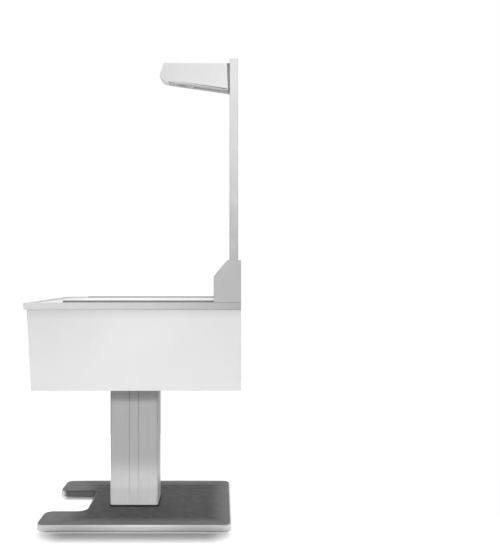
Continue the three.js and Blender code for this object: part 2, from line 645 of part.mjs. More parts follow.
function addUpstand(group) {
  const half = COUNTER_WIDTH / 2;
  const foot = COUNTER_TOP + GAP;
  const cap = outline([
    [UPSTAND_FRONT, foot],
    [REAR, foot],
    [REAR, UPSTAND_TOP],
    [SLOPE_TOP_Y, UPSTAND_TOP],
    [UPSTAND_FRONT, SLOPE_BOTTOM],
  ]);
  piece(group, "upstand_left_cap", acrossWidth(cap, SHEET), "greyPaint", -half + SHEET / 2);
  piece(group, "upstand_right_cap", acrossWidth(cap, SHEET), "greyPaint", half - SHEET / 2);

  const wide = half - SHEET - GAP;
  const narrow = half - RAIL_WIDTH - GAP;
  const frontHeight = SLOPE_BOTTOM - 0.5 - foot;
  const [slotWidth, slotHeight] = RECEIPT_SLOT;
  const deep = 3 * SHEET;
  const speakerZ = (i) => RECEIPT_Z + (i - (SPEAKER_SLOTS - 1) / 2) * SPEAKER_PITCH;
  const speaker = Array.from({ length: SPEAKER_SLOTS }, (_, i) =>
    moved(block([SPEAKER_SLOT[0], deep, SPEAKER_SLOT[1]]), SPEAKER_X, 0, speakerZ(i)),
  );
  const tabDepth = foot - DECK_TOP - GAP;
  const front = joined([
    moved(block([2 * wide, SHEET, frontHeight]), 0, 0, foot + frontHeight / 2),
    moved(block([2 * narrow, SHEET, tabDepth + 1]), 0, 0, foot - tabDepth / 2 + 0.5),
  ]);
  const slot = moved(block([slotWidth, deep, slotHeight]), RECEIPT_X, 0, RECEIPT_Z);
  const frontPanel = cut(front, [slot, ...speaker]);
  piece(group, "upstand_front_panel", frontPanel, "greyPaint", 0, UPSTAND_FRONT + SHEET / 2);

  const slope = new THREE.Group();
  slope.position.set(0, UPSTAND_FRONT, SLOPE_BOTTOM);
  slope.rotation.x = SLOPE_ANGLE;
  group.add(slope);
  const windowY = WINDOW_START + WINDOW_HEIGHT / 2;
  const slopeSpan = SLOPE_LENGTH - 2 * SLOPE_MARGIN;
  const displayHole = moved(block([DISPLAY_WIDTH, WINDOW_HEIGHT, 10]), 0, windowY, 0);
  const readerHole = moved(block([READER_WIDTH, WINDOW_HEIGHT, 10]), READER_X, windowY, 0);
  const bezel = moved(block([2 * wide, slopeSpan, SHEET]), 0, SLOPE_LENGTH / 2, -SHEET / 2);
  piece(slope, "display_bezel", cut(bezel, [displayHole, readerHole]), "greyPaint");
  const fit = 2 * EASE;
  const display = block([DISPLAY_WIDTH - fit, WINDOW_HEIGHT - fit, DISPLAY_DEPTH]);
  piece(slope, "touch_display", display, "glass", 0, windowY, -DISPLAY_DEPTH / 2 - GAP);
  const reader = block([READER_WIDTH - fit, WINDOW_HEIGHT - fit, READER_DEPTH]);
  piece(slope, "card_reader", reader, "blackPlastic", READER_X, windowY, READER_PROUD - READER_DEPTH / 2);

  const rearFace = REAR - SHEET;
  const topFront = SLOPE_TOP_Y + 2 * EASE;
  const topDepth = rearFace - GAP - topFront;
  const top = moved(block([2 * wide, topDepth, SHEET]), 0, topFront + topDepth / 2, 0);
  const passWidth = MAST_WIDTH + 2 * MAST_CLEARANCE;
  const passDepth = 60;
  const passY = MAST_FRONT - MAST_CLEARANCE + passDepth / 2;
  const pass = moved(block([passWidth, passDepth, 10]), 0, passY, 0);
  piece(group, "upstand_top_panel", cut(top, [pass]), "greyPaint", 0, 0, UPSTAND_TOP - SHEET / 2);
  plate(group, "upstand_rear_panel", "greyPaint", [-wide, wide], [rearFace, REAR], [foot, UPSTAND_TOP]);

  const [printerWidth, printerDepth, printerHeight] = PRINTER_SIZE;
  const printerY = UPSTAND_FRONT + SHEET + GAP + printerDepth / 2;
  const printerZ = DECK_TOP + GAP + printerHeight / 2;
  const mouthDepth = 30;
  const mouth = moved(
    block([slotWidth, mouthDepth, slotHeight]),
    0,
    (mouthDepth - printerDepth) / 2 - 1,
    RECEIPT_Z - printerZ,
  );
  const printer = cut(block(PRINTER_SIZE), [mouth]);
  piece(group, "receipt_printer", printer, "blackPlastic", RECEIPT_X, printerY, printerZ);
}

// Mast ------------------------------------------------------------------------------------------

function addMast(group) {
  const depth = MAST_REAR - MAST_FRONT;
  const middle = (MAST_REAR + MAST_FRONT) / 2;
  const tubeTop = MAST_TOP - CAP_HEIGHT;
  const mast = tube(MAST_WIDTH, depth, MAST_WALL, tubeTop - MAST_BOTTOM, MAST_RADIUS);
  piece(group, "mast_tube", mast, "whitePaint", 0, middle, MAST_BOTTOM);

  const plugInset = 2 * (MAST_WALL + EASE);
  const plug = rectangle(MAST_WIDTH - plugInset, depth - plugInset, 1);
  const cap = joined([
    extruded(rectangle(MAST_WIDTH, depth, MAST_RADIUS), CAP_HEIGHT - GAP),
    moved(extruded(plug, PLUG_LENGTH + 1), 0, 0, -PLUG_LENGTH),
  ]);
  piece(group, "mast_end_cap", cap, "whitePaint", 0, middle, tubeTop + GAP);

  const inner = MAST_WIDTH / 2 + MAST_CLEARANCE;
  const outer = inner + SLEEVE_WALL;
  const inside = MAST_FRONT - MAST_CLEARANCE;
  const open = REAR - SHEET - GAP;
  const channel = outline([
    [-outer, inside - SLEEVE_WALL],
    [outer, inside - SLEEVE_WALL],
    [outer, open],
    [inner, open],
    [inner, inside],
    [-inner, inside],
    [-inner, open],
    [-outer, open],
  ]);
  const sleeveTop = UPSTAND_TOP - SHEET - GAP;
  const sleeve = extruded(channel, sleeveTop - SLEEVE_BOTTOM);
  piece(group, "mast_guide_sleeve", sleeve, "greyPlastic", 0, 0, SLEEVE_BOTTOM);

  const collarGrowth = 2 * (EASE + MAST_COLLAR.wall);
  const collarWidth = MAST_WIDTH + collarGrowth;
  const collarDepth = depth + collarGrowth;
  const { wall, height, radius } = MAST_COLLAR;
  const collar = tube(collarWidth, collarDepth, wall, height, radius);
  piece(group, "mast_collar", collar, "whitePaint", 0, middle, UPSTAND_TOP + GAP);
}

// Overhead head ---------------------------------------------------------------------------------

function addHead(group) {
  const [chinY, chinZ] = HEAD_CHIN;
  const fall = Math.atan2(chinZ - HEAD_ROOT_BOTTOM, HEAD_REAR - chinY);
  const side = outline([
    [HEAD_FRONT_TOP_Y, HEAD_TOP, NOSE_RADII.top],
    [HEAD_TIP[0], HEAD_TIP[1], NOSE_RADII.tip],
    [chinY - NOSE_LENGTH, chinZ + NOSE_LENGTH * Math.tan(fall), NOSE_RADII.chin],
    [HEAD_REAR, HEAD_ROOT_BOTTOM],
    [HEAD_REAR, HEAD_TOP],
  ]);
  const hollow = outline([
    [HEAD_FRONT_TOP_Y + 12, HEAD_TOP - HEAD_WALL],
    [HEAD_TIP[0] + 22, HEAD_TIP[1] + 4],
    [HEAD_TIP[0] + 42, chinZ + 2],
    [HEAD_REAR - HEAD_WALL, HEAD_ROOT_BOTTOM + 4],
    [HEAD_REAR - HEAD_WALL, HEAD_TOP - HEAD_WALL],
  ]);
  const mouthStart = TRAY_START - EASE;
  const mouthEnd = TRAY_END + MOUTH_REACH;
  const mouth = block([TRAY_WIDTH + 2 * EASE, mouthEnd - mouthStart, 40]);
  mouth.translate(0, (mouthEnd + mouthStart) / 2, TRAY_ABOVE + EASE - 20);
  mouth.rotateX(-fall).translate(0, chinY, chinZ);
  const housing = cut(acrossWidth(side, HEAD_WIDTH), [
    acrossWidth(hollow, HEAD_WIDTH - 2 * HEAD_WALL),
    mouth,
  ]);
  piece(group, "head_housing", housing, "whitePaint");

  const under = new THREE.Group();
  under.position.set(0, chinY, chinZ);
  under.rotation.x = -fall;
  group.add(under);
  const traySide = outline([
    [TRAY_START, 0],
    [TRAY_START + TRAY_BEVEL, -TRAY_BELOW],
    [TRAY_END, -TRAY_BELOW],
    [TRAY_END, TRAY_ABOVE],
    [TRAY_START, TRAY_ABOVE],
  ]);
  const windowLength = LIGHT_WINDOW.end - LIGHT_WINDOW.start;
  const windowY = (LIGHT_WINDOW.end + LIGHT_WINDOW.start) / 2;
  const lightWindow = moved(block([LIGHT_WINDOW.width, windowLength, 30]), 0, windowY, 0);
  const lensWindow = moved(bar(CAMERA.radius, 30), 0, CAMERA.at, -15);
  const tray = cut(acrossWidth(traySide, TRAY_WIDTH), [lightWindow, lensWindow]);
  piece(under, "head_light_tray", tray, "greyPaint");

  const { margin, thickness } = DIFFUSER;
  const panel = block([LIGHT_WINDOW.width + 2 * margin, windowLength + 2 * margin, thickness]);
  piece(under, "light_panel", panel, "diffuser", 0, windowY, TRAY_ABOVE + GAP + thickness / 2);
  const barrel = bar(CAMERA.radius - EASE, CAMERA.length);
  const lens = joined([
    moved(barrel, 0, 0, TRAY_ABOVE - CAMERA.recess),
    moved(block(CAMERA.box), 0, 0, TRAY_ABOVE + 2 + CAMERA.box[2] / 2),
  ]);
  piece(under, "scan_camera", lens, "glass", 0, CAMERA.at, 0);

  const mountFront = HEAD_REAR + GAP;
  const mountRear = MAST_FRONT - GAP;
  const halfMast = MAST_WIDTH / 2;
  const mountZ = [HEAD_ROOT_BOTTOM - MOUNT_DROP, HEAD_TOP];
  const mountY = [mountFront, mountRear];
  plate(group, "head_mount_plate", "greyPlastic", [-halfMast, halfMast], mountY, mountZ);
}

// Height switch ---------------------------------------------------------------------------------

function addHeightSwitch(group) {
  const frame = new THREE.Group();
  const drop = SWITCH_DROP * Math.cos(FRONT_LEAN);
  frame.position.set(SWITCH_X, CABINET_FRONT_TOP + SWITCH_DROP * Math.sin(FRONT_LEAN), PANEL_TOP - drop);
  frame.rotation.x = FRONT_LEAN;
  group.add(frame);
  const [flangeWidth, flangeHeight, flangeThickness] = SWITCH_FLANGE;
  const [bodyWidth, bodyHeight, bodyDepth] = SWITCH_BODY;
  const [buttonWidth, buttonDepth, buttonHeight] = BUTTON_SIZE;
  const pocketSize = [buttonWidth + 2 * EASE, POCKET_DEPTH, buttonHeight + 2 * EASE];
  const pocket = (x) => moved(block(pocketSize), x, POCKET_DEPTH / 2 - flangeThickness - 1, 0);
  const shell = joined([
    moved(block([flangeWidth, flangeThickness, flangeHeight]), 0, -flangeThickness / 2 - GAP, 0),
    moved(block([bodyWidth, bodyDepth + 1, bodyHeight]), 0, bodyDepth / 2 - GAP - 0.5, 0),
  ]);
  piece(frame, "height_switch_housing", cut(shell, [pocket(-BUTTON_X), pocket(BUTTON_X)]), "blackPlastic");
  const faceY = -flangeThickness - GAP - BUTTON_PROUD;
  const buttonY = faceY + buttonDepth / 2;
  piece(frame, "height_down_button", block(BUTTON_SIZE), "greyPlastic", -BUTTON_X, buttonY);
  piece(frame, "height_up_button", block(BUTTON_SIZE), "greyPlastic", BUTTON_X, buttonY);
}

// Power inlet -----------------------------------------------------------------------------------

function addPowerInlet(group) {
  const frame = new THREE.Group();
  frame.position.set(INLET_X, INLET_Y, CABINET_BOTTOM - GAP);
  group.add(frame);
  const [socketWidth, socketDepth, socketHeight] = SOCKET.size;
  const [rockerWidth, rockerLength, rockerHeight] = ROCKER.size;
  const flange = INLET_FLANGE[2];
  const [bodyWidth, bodyDepth, bodyHeight] = INLET_BODY;
  const module = joined([
    moved(block(INLET_FLANGE), 0, 0, -flange / 2),
    moved(block([bodyWidth, bodyDepth, bodyHeight + 1]), 0, 0, bodyHeight / 2 - 0.5),
  ]);
  const wellSize = [rockerWidth + 1, rockerLength + 3, WELL_DEPTH];
  const well = moved(block(wellSize), 0, ROCKER.y, WELL_DEPTH / 2 - flange - 1);
  const socketHole = block([socketWidth, socketDepth, socketHeight + 1]);
  const socket = moved(socketHole, 0, SOCKET.y, (socketHeight - 1) / 2 - flange);
  const hollowed = cut(module, [well, socket]);
  const top = socketHeight - flange;
  const blade = (x, y) => moved(block(BLADE), x, SOCKET.y + y, top - BLADE[2] / 2 + 0.5);
  const [pairY, singleY] = BLADE_ROWS;
  const blades = [blade(-BLADE_SPREAD, pairY), blade(BLADE_SPREAD, pairY), blade(0, singleY)];
  piece(frame, "power_inlet", joined([hollowed, ...blades]), "blackPlastic");

  const rocker = new THREE.Group();
  rocker.position.set(0, ROCKER.y, 0);
  rocker.rotation.x = THREE.MathUtils.degToRad(-ROCKER.tilt);
  frame.add(rocker);
  piece(rocker, "power_rocker", block([rockerWidth, rockerLength, rockerHeight]), "greyPlastic");
}

const kiosk = new THREE.Group();
addFloorPlate(kiosk);
addColumn(kiosk);
addCabinet(kiosk);
addServiceDoor(kiosk);
addCounter(kiosk);
addUpstand(kiosk);
addMast(kiosk);
addHead(kiosk);
addHeightSwitch(kiosk);
addPowerInlet(kiosk);

export default kiosk;
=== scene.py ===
import json
import math

import bmesh
import bpy
from mathutils import Matrix, Vector


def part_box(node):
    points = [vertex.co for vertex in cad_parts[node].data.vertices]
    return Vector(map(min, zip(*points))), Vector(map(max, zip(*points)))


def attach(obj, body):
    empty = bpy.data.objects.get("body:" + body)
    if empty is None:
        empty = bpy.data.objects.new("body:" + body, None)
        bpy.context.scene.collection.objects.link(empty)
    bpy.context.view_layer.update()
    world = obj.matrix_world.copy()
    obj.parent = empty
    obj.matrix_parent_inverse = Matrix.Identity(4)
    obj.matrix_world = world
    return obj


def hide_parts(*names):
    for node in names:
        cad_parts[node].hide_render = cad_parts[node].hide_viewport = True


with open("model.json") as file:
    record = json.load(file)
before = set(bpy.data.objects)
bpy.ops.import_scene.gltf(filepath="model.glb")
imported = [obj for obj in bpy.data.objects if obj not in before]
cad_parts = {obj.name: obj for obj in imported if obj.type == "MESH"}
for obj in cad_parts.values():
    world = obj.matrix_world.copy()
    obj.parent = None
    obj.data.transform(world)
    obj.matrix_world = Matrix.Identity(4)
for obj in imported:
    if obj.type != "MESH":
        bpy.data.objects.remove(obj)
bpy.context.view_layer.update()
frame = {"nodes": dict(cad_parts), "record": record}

MM = 0.001
RECORD = frame["record"]
BODY_OF = {node: body for body, nodes in RECORD["behaviour"]["bodies"].items() for node in nodes}

# Places that several pieces share, read from the frame.
BASE_LO, BASE_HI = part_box("base_plate")
RAIL_LO, RAIL_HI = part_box("counter_rail_right")
FRONT_LO, FRONT_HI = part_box("cabinet_front_panel")
PANEL_LO, PANEL_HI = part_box("cabinet_right_panel")
PLATTER_LO, PLATTER_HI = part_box("scale_platter")
CAP_LO, CAP_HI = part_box("upstand_right_cap")
MAST_LO, MAST_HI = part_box("mast_tube")
HEAD_LO, HEAD_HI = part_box("head_housing")
COUNTER_TOP = RAIL_HI.z
SHEET = PANEL_HI.x - PANEL_LO.x

# Camera -----------------------------------------------------------------------------------------

EYE_DISTANCE = 2.6  # from the counter's near side
EYE_Y = 0.314
EYE_HEIGHT = 0.946
LENS = 47.94
SHIFT_X = 0.0533
SHIFT_Y = 0.0011


def add_camera():
    camera = bpy.data.objects.new("camera", bpy.data.cameras.new("camera"))
    camera.data.lens = LENS
    camera.data.shift_x = SHIFT_X
    camera.data.shift_y = SHIFT_Y
    camera.location = (RAIL_HI.x + EYE_DISTANCE, EYE_Y, EYE_HEIGHT)
    camera.rotation_euler = (math.radians(90), 0, math.radians(90))
    bpy.context.scene.collection.objects.link(camera)
    bpy.context.scene.camera = camera


# Materials --------------------------------------------------------------------------------------


class Surface:
    """A node material around one Principled shader, with short names for the usual steps."""

    def __init__(self, name, roughness, metallic=0.0, coat=0.0):
        self.material = bpy.data.materials.new(name)
        self.material.use_nodes = True
        self.tree = self.material.node_tree
        self.tree.nodes.clear()
        output = self.tree.nodes.new("ShaderNodeOutputMaterial")
        self.shader = self.tree.nodes.new("ShaderNodeBsdfPrincipled")
        self.tree.links.new(self.shader.outputs["BSDF"], output.inputs["Surface"])
        self.set("Roughness", roughness)
        self.set("Metallic", metallic)
        self.set("Coat Weight", coat)
        self.place = self.node("TexCoord").outputs["Object"]

    def node(self, kind, inputs=None, **settings):
        node = self.tree.nodes.new("ShaderNode" + kind)
        for key, value in settings.items():
            setattr(node, key, value)
        for key, value in (inputs or {}).items():
            self.feed(node.inputs[key], value)
        return node

    def feed(self, socket, value):
        if isinstance(value, bpy.types.NodeSocket):
            self.tree.links.new(value, socket)
        else:
            socket.default_value = value

    def set(self, name, value):
        self.feed(self.shader.inputs[name], value)

    def noise(self, scale, detail=3.0, stretch=(1, 1, 1), roughness=0.5):
        mapping = self.node("Mapping", {"Vector": self.place, "Scale": stretch})
        inputs = {"Vector": mapping.outputs["Vector"], "Scale": scale}
        inputs.update({"Detail": detail, "Roughness": roughness})
        return self.node("TexNoise", inputs).outputs["Fac"]

    def span(self, value, low, high, start=0.0, end=1.0, smooth=True):
        kind = "SMOOTHSTEP" if smooth else "LINEAR"
        inputs = {"Value": value, "From Min": start, "From Max": end, "To Min": low, "To Max": high}
        return self.node("MapRange", inputs, interpolation_type=kind).outputs["Result"]

    def axis(self, name):
        return self.node("SeparateXYZ", {"Vector": self.place}).outputs[name]

    def maths(self, operation, a, b=0.0):
        return self.node("Math", {0: a, 1: b}, operation=operation).outputs["Value"]

    def blend(self, factor, a, b):
        inputs = {"Factor": factor, 6: a, 7: b}
        return self.node("Mix", inputs, data_type="RGBA").outputs[2]

    def bump(self, height, strength, distance):
        inputs = {"Height": height, "Strength": strength, "Distance": distance}
        self.set("Normal", self.node("Bump", inputs).outputs["Normal"])


def grey(level, warm=0.0):
    """An sRGB grey from 0 to 255 as a linear colour, a little warmer or cooler."""
    value = level / 255
    linear = value / 12.92 if value <= 0.04045 else ((value + 0.055) / 1.055) ** 2.4
    return (linear * (1 + warm), linear, linear * (1 - warm), 1.0)


def powder_coat(name, level, roughness=0.42, warm=0.0, spread=5, fade=None):
    """Satin powder coat: a fine orange peel, and tone and gloss that drift a little.

    fade is an axis, two places along it and the level at the second, for painted light or shade along that
    axis."""
    s = Surface(name, roughness)
    drift = s.noise(3.5, 2.0)
    light, dark = grey(level, warm), grey(level - spread, warm)
    if fade:
        axis, start, end, far_level = fade
        along = s.span(s.axis(axis), 0.0, 1.0, start, end, smooth=False)
        light = s.blend(along, light, grey(far_level, warm))
        dark = s.blend(along, dark, grey(far_level - spread, warm))
    tone = s.blend(s.span(drift, 0.0, 1.0, 0.3, 0.7), dark, light)
    grain = s.noise(900, 2.0)
    s.set("Base Color", s.blend(s.span(grain, 0.0, 0.12, 0.35, 0.65), tone, grey(level - 14, warm)))
    s.set("Roughness", s.span(s.noise(12, 3.0), roughness - 0.05, roughness + 0.07, 0.3, 0.7))
    s.bump(s.noise(1400, 3.0), 0.10, 0.0004)
    return s


def brushed(name, level, along, roughness=0.34, metallic=0.9, contrast=16, fades=()):
    """Metal with long brush marks along one axis.

    Each fade is an axis, two places along it and the level at the second, for painted light or shade along
    it."""
    stretch = [1.0, 1.0, 1.0]
    stretch["xyz".index(along)] = 0.012
    s = Surface(name, roughness, metallic)
    marks = s.noise(420, 4.0, stretch, 0.65)
    broad = s.noise(46, 3.0, stretch)
    low, high = grey(level - contrast), grey(level + contrast * 0.6)
    for axis, start, end, far_level in fades:
        change = s.span(s.axis(axis), 0.0, 1.0, start, end)
        low = s.blend(change, low, grey(far_level - contrast))
        high = s.blend(change, high, grey(far_level + contrast * 0.6))
    tone = s.blend(s.span(marks, 0.0, 1.0, 0.3, 0.7), low, high)
    s.set("Base Color", s.blend(s.span(broad, 0.0, 0.35, 0.35, 0.65), tone, low))
    s.set("Roughness", s.span(marks, roughness - 0.06, roughness + 0.10, 0.25, 0.75))
    s.bump(marks, 0.12, 0.0003)
    s.set("Anisotropic", 0.45)
    return s


def plastic(name, level, roughness=0.5, peel=0.25, warm=0.0):
    """Moulded plastic with a fine spark-eroded texture."""
    s = Surface(name, roughness)
    grain = s.noise(1100, 3.0)
    tone = s.blend(s.span(grain, 0.0, 1.0, 0.3, 0.7), grey(max(level - 6, 2), warm), grey(level + 5, warm))
    s.set("Base Color", s.blend(s.span(s.noise(8, 3.0), 0.0, 0.5, 0.35, 0.65), tone, grey(level, warm)))
    s.set("Roughness", s.span(s.noise(30, 3.0), roughness - 0.05, roughness + 0.08, 0.3, 0.7))
    s.bump(grain, peel, 0.0004)
    return s


def reflection_margin(s, inset, width):
    """0 in the middle of the floor plate and 1 along its outer margins and the notch, where the cover's
    painted reflection lies.
    """
    x = s.maths("ABSOLUTE", s.axis("X"))
    y = s.axis("Y")
    side = s.span(x, 0.0, 1.0, BASE_HI.x - inset - width, BASE_HI.x - inset)
    rear = s.span(y, 0.0, 1.0, BASE_HI.y - inset - width, BASE_HI.y - inset)
    front = s.span(y, 1.0, 0.0, NOTCH_END - width, NOTCH_END + 0.3 * width)
    return s.maths("MAXIMUM", s.maths("MAXIMUM", side, rear), front)


def plate_edge():
    """Brushed silver with a painted highlight in the middle of each side, and painted shade on the faces
    inside the notch.
    """
    # The silver is brightest in the middle of each side: a painted highlight.
    fades = [("Y", 0.0, -0.28, 196), ("Y", 0.0, 0.28, 196)]
    s = brushed("plate_edge_silver", 224, "y", 0.35, 0.6, 8, fades)
    highlighted_silver = s.shader.inputs["Base Color"].links[0].from_socket
    # The faces inside the notch are painted dark grey: painted shade.
    across = s.span(s.maths("ABSOLUTE", s.axis("X")), 1.0, 0.0, NOTCH_HALF + 0.003, NOTCH_HALF + 0.006)
    behind_tips = s.span(s.axis("Y"), 0.0, 1.0, BASE_LO.y + 0.01, BASE_LO.y + 0.03)
    before_end = s.span(s.axis("Y"), 1.0, 0.0, NOTCH_END + 0.003, NOTCH_END + 0.006)
    inside = s.maths("MULTIPLY", across, s.maths("MULTIPLY", behind_tips, before_end))
    s.set("Base Color", s.blend(inside, highlighted_silver, grey(88)))
    return s


def floor_cover():
    """Dark laminate with a painted reflection that makes it paler along its margins and the notch."""
    s = Surface("cover_laminate", 0.55)
    s.set("Specular IOR Level", 0.25)
    fine = s.noise(700, 4.0)
    dark = s.blend(s.span(fine, 0.0, 1.0, 0.3, 0.7), grey(56), grey(63))
    pale = s.blend(s.span(fine, 0.0, 1.0, 0.3, 0.7), grey(114), grey(122))
    # The margins are blended towards the pale tone, a painted reflection, varied a little at random.
    margin_variation = s.span(s.noise(14, 3.0), 0.9, 1.0, 0.35, 0.65)
    s.set("Base Color", s.blend(s.maths("MULTIPLY", reflection_margin(s, 0.004, 0.09), margin_variation), dark, pale))
    s.set("Roughness", s.span(s.noise(35, 4.0), 0.50, 0.60, 0.3, 0.7))
    s.bump(fine, 0.1, 0.0002)
    return s


def rubber(name="foot_rubber"):
    s = Surface(name, 0.85)
    grain = s.noise(600, 4.0)
    s.set("Base Color", s.blend(s.span(grain, 0.0, 1.0, 0.3, 0.7), grey(24), grey(38)))
    s.bump(grain, 0.35, 0.0005)
    return s


def platter_glass():
    """Back-painted tempered glass: a warm white under a clear glossy face."""
    s = Surface("platter_glass", 0.3)
    wear = s.noise(60, 5.0, (1, 1, 1), 0.65)
    s.set("Base Color", s.blend(s.span(wear, 0.0, 0.5, 0.4, 0.8), grey(243, 0.012), grey(233, 0.02)))
    s.set("Roughness", s.span(s.noise(240, 4.0), 0.24, 0.38, 0.4, 0.8))
    return s


def dark_glass(name="dark_glass"):
    s = Surface(name, 0.06, coat=0.8)
    s.set("Base Color", s.blend(s.span(s.noise(90, 4.0), 0.0, 1.0, 0.4, 0.7), grey(14), grey(19)))
    s.set("Roughness", s.span(s.noise(320, 4.0), 0.04, 0.13, 0.45, 0.8))
    return s


def diffuser():
    """Opal plastic with rows of small prisms, unlit."""
    s = Surface("opal_diffuser", 0.5)
    wave = s.node("TexWave", {"Vector": s.place, "Scale": 60.0, "Distortion": 0.0}, bands_direction="X")
    s.set("Base Color", s.blend(wave.outputs["Fac"], grey(234), grey(244)))
    s.bump(wave.outputs["Fac"], 0.3, 0.0006)
    return s


def screen():
    """A quiet start screen: a soft blue-grey field with a paler band."""
    s = Surface("screen_image", 0.25)
    glow = s.span(s.axis("X"), 0.0, 1.0, -0.09, 0.09)
    pixels = s.span(s.noise(2500, 1.0), 0.9, 1.0, 0.3, 0.7)
    field = s.blend(glow, (0.05, 0.12, 0.18, 1), (0.10, 0.24, 0.30, 1))
    s.set("Base Color", s.blend(pixels, grey(8), field))
    s.set("Emission Color", field)
    s.set("Emission Strength", 0.5)
    return s


def lamp(name, colour, strength=1.2):
    s = Surface(name, 0.35)
    s.set("Base Color", s.blend(s.span(s.noise(500, 2.0), 0.0, 0.3, 0.3, 0.7), colour, grey(200)))
    s.set("Emission Color", colour)
    s.set("Emission Strength", strength)
    return s


def build_materials():
    # The white coat darkens over the 35 mm below the rim: a painted shadow under the rim.
    white = powder_coat("white_powder_coat", 221, fade=("Z", RAIL_LO.z - 0.035, RAIL_LO.z, 204))
    # The mast coat grows paler towards the top: painted light.
    mast = powder_coat("mast_powder_coat", 176, 0.38, fade=("Z", 1.0, 1.75, 253))
    # The column tube is paler towards its foot, a painted reflection, and darker just under the cabinet, a
    # painted shadow.
    column_painted_light = [("Z", 0.24, 0.10, 222), ("Z", 0.10, 0.04, 250), ("Z", 0.435, 0.485, 154)]
    return {
        "white": white,
        "mast": mast,
        # The head shell grows paler towards the mast: painted light.
        "head": powder_coat("head_shell_paint", 240, 0.36, fade=("Y", HEAD_LO.y, HEAD_HI.y, 253)),
        "head_grey": plastic("head_tray_plastic", 198, 0.5, 0.1),
        "grey": powder_coat("grey_powder_coat", 177, 0.46),
        # The rim rails grow darker towards the rear: painted shade.
        "rail": powder_coat("rail_paint", 216, 0.4, fade=("Y", RAIL_LO.y, RAIL_HI.y, 164)),
        "mount": plastic("mount_strip", 120, 0.5),
        "deck": powder_coat("deck_paint", 226, 0.4),
        "silver": plate_edge(),
        "column": brushed("column_aluminium", 173, "z", 0.45, 0.35, 6, column_painted_light),
        "stage": brushed("stage_aluminium", 160, "z", 0.45, 0.35, 7),
        "cover": floor_cover(),
        "rubber": rubber(),
        "black": plastic("black_plastic", 34, 0.5),
        # The platter guides are dark grey to stand for the shade along the platter's edges: painted shade.
        "guide": plastic("guide_strip", 118, 0.55),
        "liner": plastic("liner_plastic", 150, 0.5),
        "button": plastic("button_cap", 150, 0.4, 0.1),
        "case": plastic("electronics_case", 52, 0.45),
        "steel": brushed("zinc_steel", 188, "y", 0.4, 0.85),
        "chrome": brushed("plated_lock", 220, "x", 0.16, 1.0, 6),
        "brass": brushed("nut_brass", 170, "z", 0.35, 0.9),
        "cell": brushed("load_cell_aluminium", 210, "x", 0.35, 0.85),
        "platter": platter_glass(),
        "glass": dark_glass(),
        "diffuser": diffuser(),
        "screen": screen(),
        "mark": plastic("printed_mark", 232, 0.5, 0.05),
        "led_green": lamp("led_green", (0.10, 0.75, 0.25, 1)),
    }


# Mesh tools -------------------------------------------------------------------------------------

TURN = {
    "x": Matrix(((0, 0, 1, 0), (1, 0, 0, 0), (0, 1, 0, 0), (0, 0, 0, 1))),
    "y": Matrix(((1, 0, 0, 0), (0, 0, -1, 0), (0, 1, 0, 0), (0, 0, 0, 1))),
    "z": Matrix.Identity(4),
}


def rounded(corners, steps=7):
    """The outline through (x, y, radius) corners, each turned by a true arc."""
    points = []
    for i, (x, y, radius) in enumerate(corners):
        corner = Vector((x, y))
        before = (Vector(corners[i - 1][:2]) - corner).normalized()
        after = (Vector(corners[(i + 1) % len(corners)][:2]) - corner).normalized()
        if radius <= 0:
            points.append(tuple(corner))
            continue
        opening = before.angle(after)
        reach = radius / math.tan(opening / 2)
        centre = corner + (before + after).normalized() * (radius / math.sin(opening / 2))
        start = corner + before * reach - centre
        end = corner + after * reach - centre
        sweep = start.angle_signed(end)
        for step in range(steps + 1):
            points.append(tuple(centre + Matrix.Rotation(-sweep * step / steps, 2) @ start))
    return points


def oblong(x0, x1, y0, y1, radius=0.0, steps=7):
    return rounded([(x0, y0, radius), (x1, y0, radius), (x1, y1, radius), (x0, y1, radius)], steps)


def circle(x, y, radius, sides=40):
    turns = [math.tau * i / sides for i in range(sides)]
    return [(x + radius * math.cos(a), y + radius * math.sin(a)) for a in turns]


def cleaned(source):
    """Welds a mesh, points its faces outwards and gives it to a new mesh."""
    shape = bmesh.new()
    shape.from_mesh(source)
    bmesh.ops.remove_doubles(shape, verts=shape.verts, dist=2e-6)
    bmesh.ops.dissolve_degenerate(shape, edges=shape.edges, dist=1e-6)
    bmesh.ops.recalc_face_normals(shape, faces=shape.faces)
    mesh = bpy.data.meshes.new("mesh")
    shape.to_mesh(mesh)
    shape.free()
    return mesh


def evaluated(obj):
    graph = bpy.context.evaluated_depsgraph_get()
    return bpy.data.meshes.new_from_object(obj.evaluated_get(graph))


def slab(loops, facing, low, high, bevel=0.0005, segments=2, place=None):
    """Closed outlines (the first is the outside, the rest are holes) run between two levels of one axis."""
    curve = bpy.data.curves.new("outline", "CURVE")
    curve.dimensions = "2D"
    curve.fill_mode = "BOTH"
    for points in loops:
        spline = curve.splines.new("POLY")
        spline.points.add(len(points) - 1)
        for point, (x, y) in zip(spline.points, points):
            point.co = (x, y, 0, 1)
        spline.use_cyclic_u = True
    curve.extrude = (high - low) / 2 - bevel
    curve.bevel_depth = bevel
    curve.bevel_resolution = segments
    curve.offset = -bevel
    holder = bpy.data.objects.new("outline", curve)
    bpy.context.scene.collection.objects.link(holder)
    mesh = evaluated(holder)
    bpy.data.objects.remove(holder)
    middle = (low + high) / 2
    level = -middle if facing == "y" else middle
    mesh.transform((place or Matrix.Identity(4)) @ TURN[facing] @ Matrix.Translation((0, 0, level)))
    return cleaned(mesh)


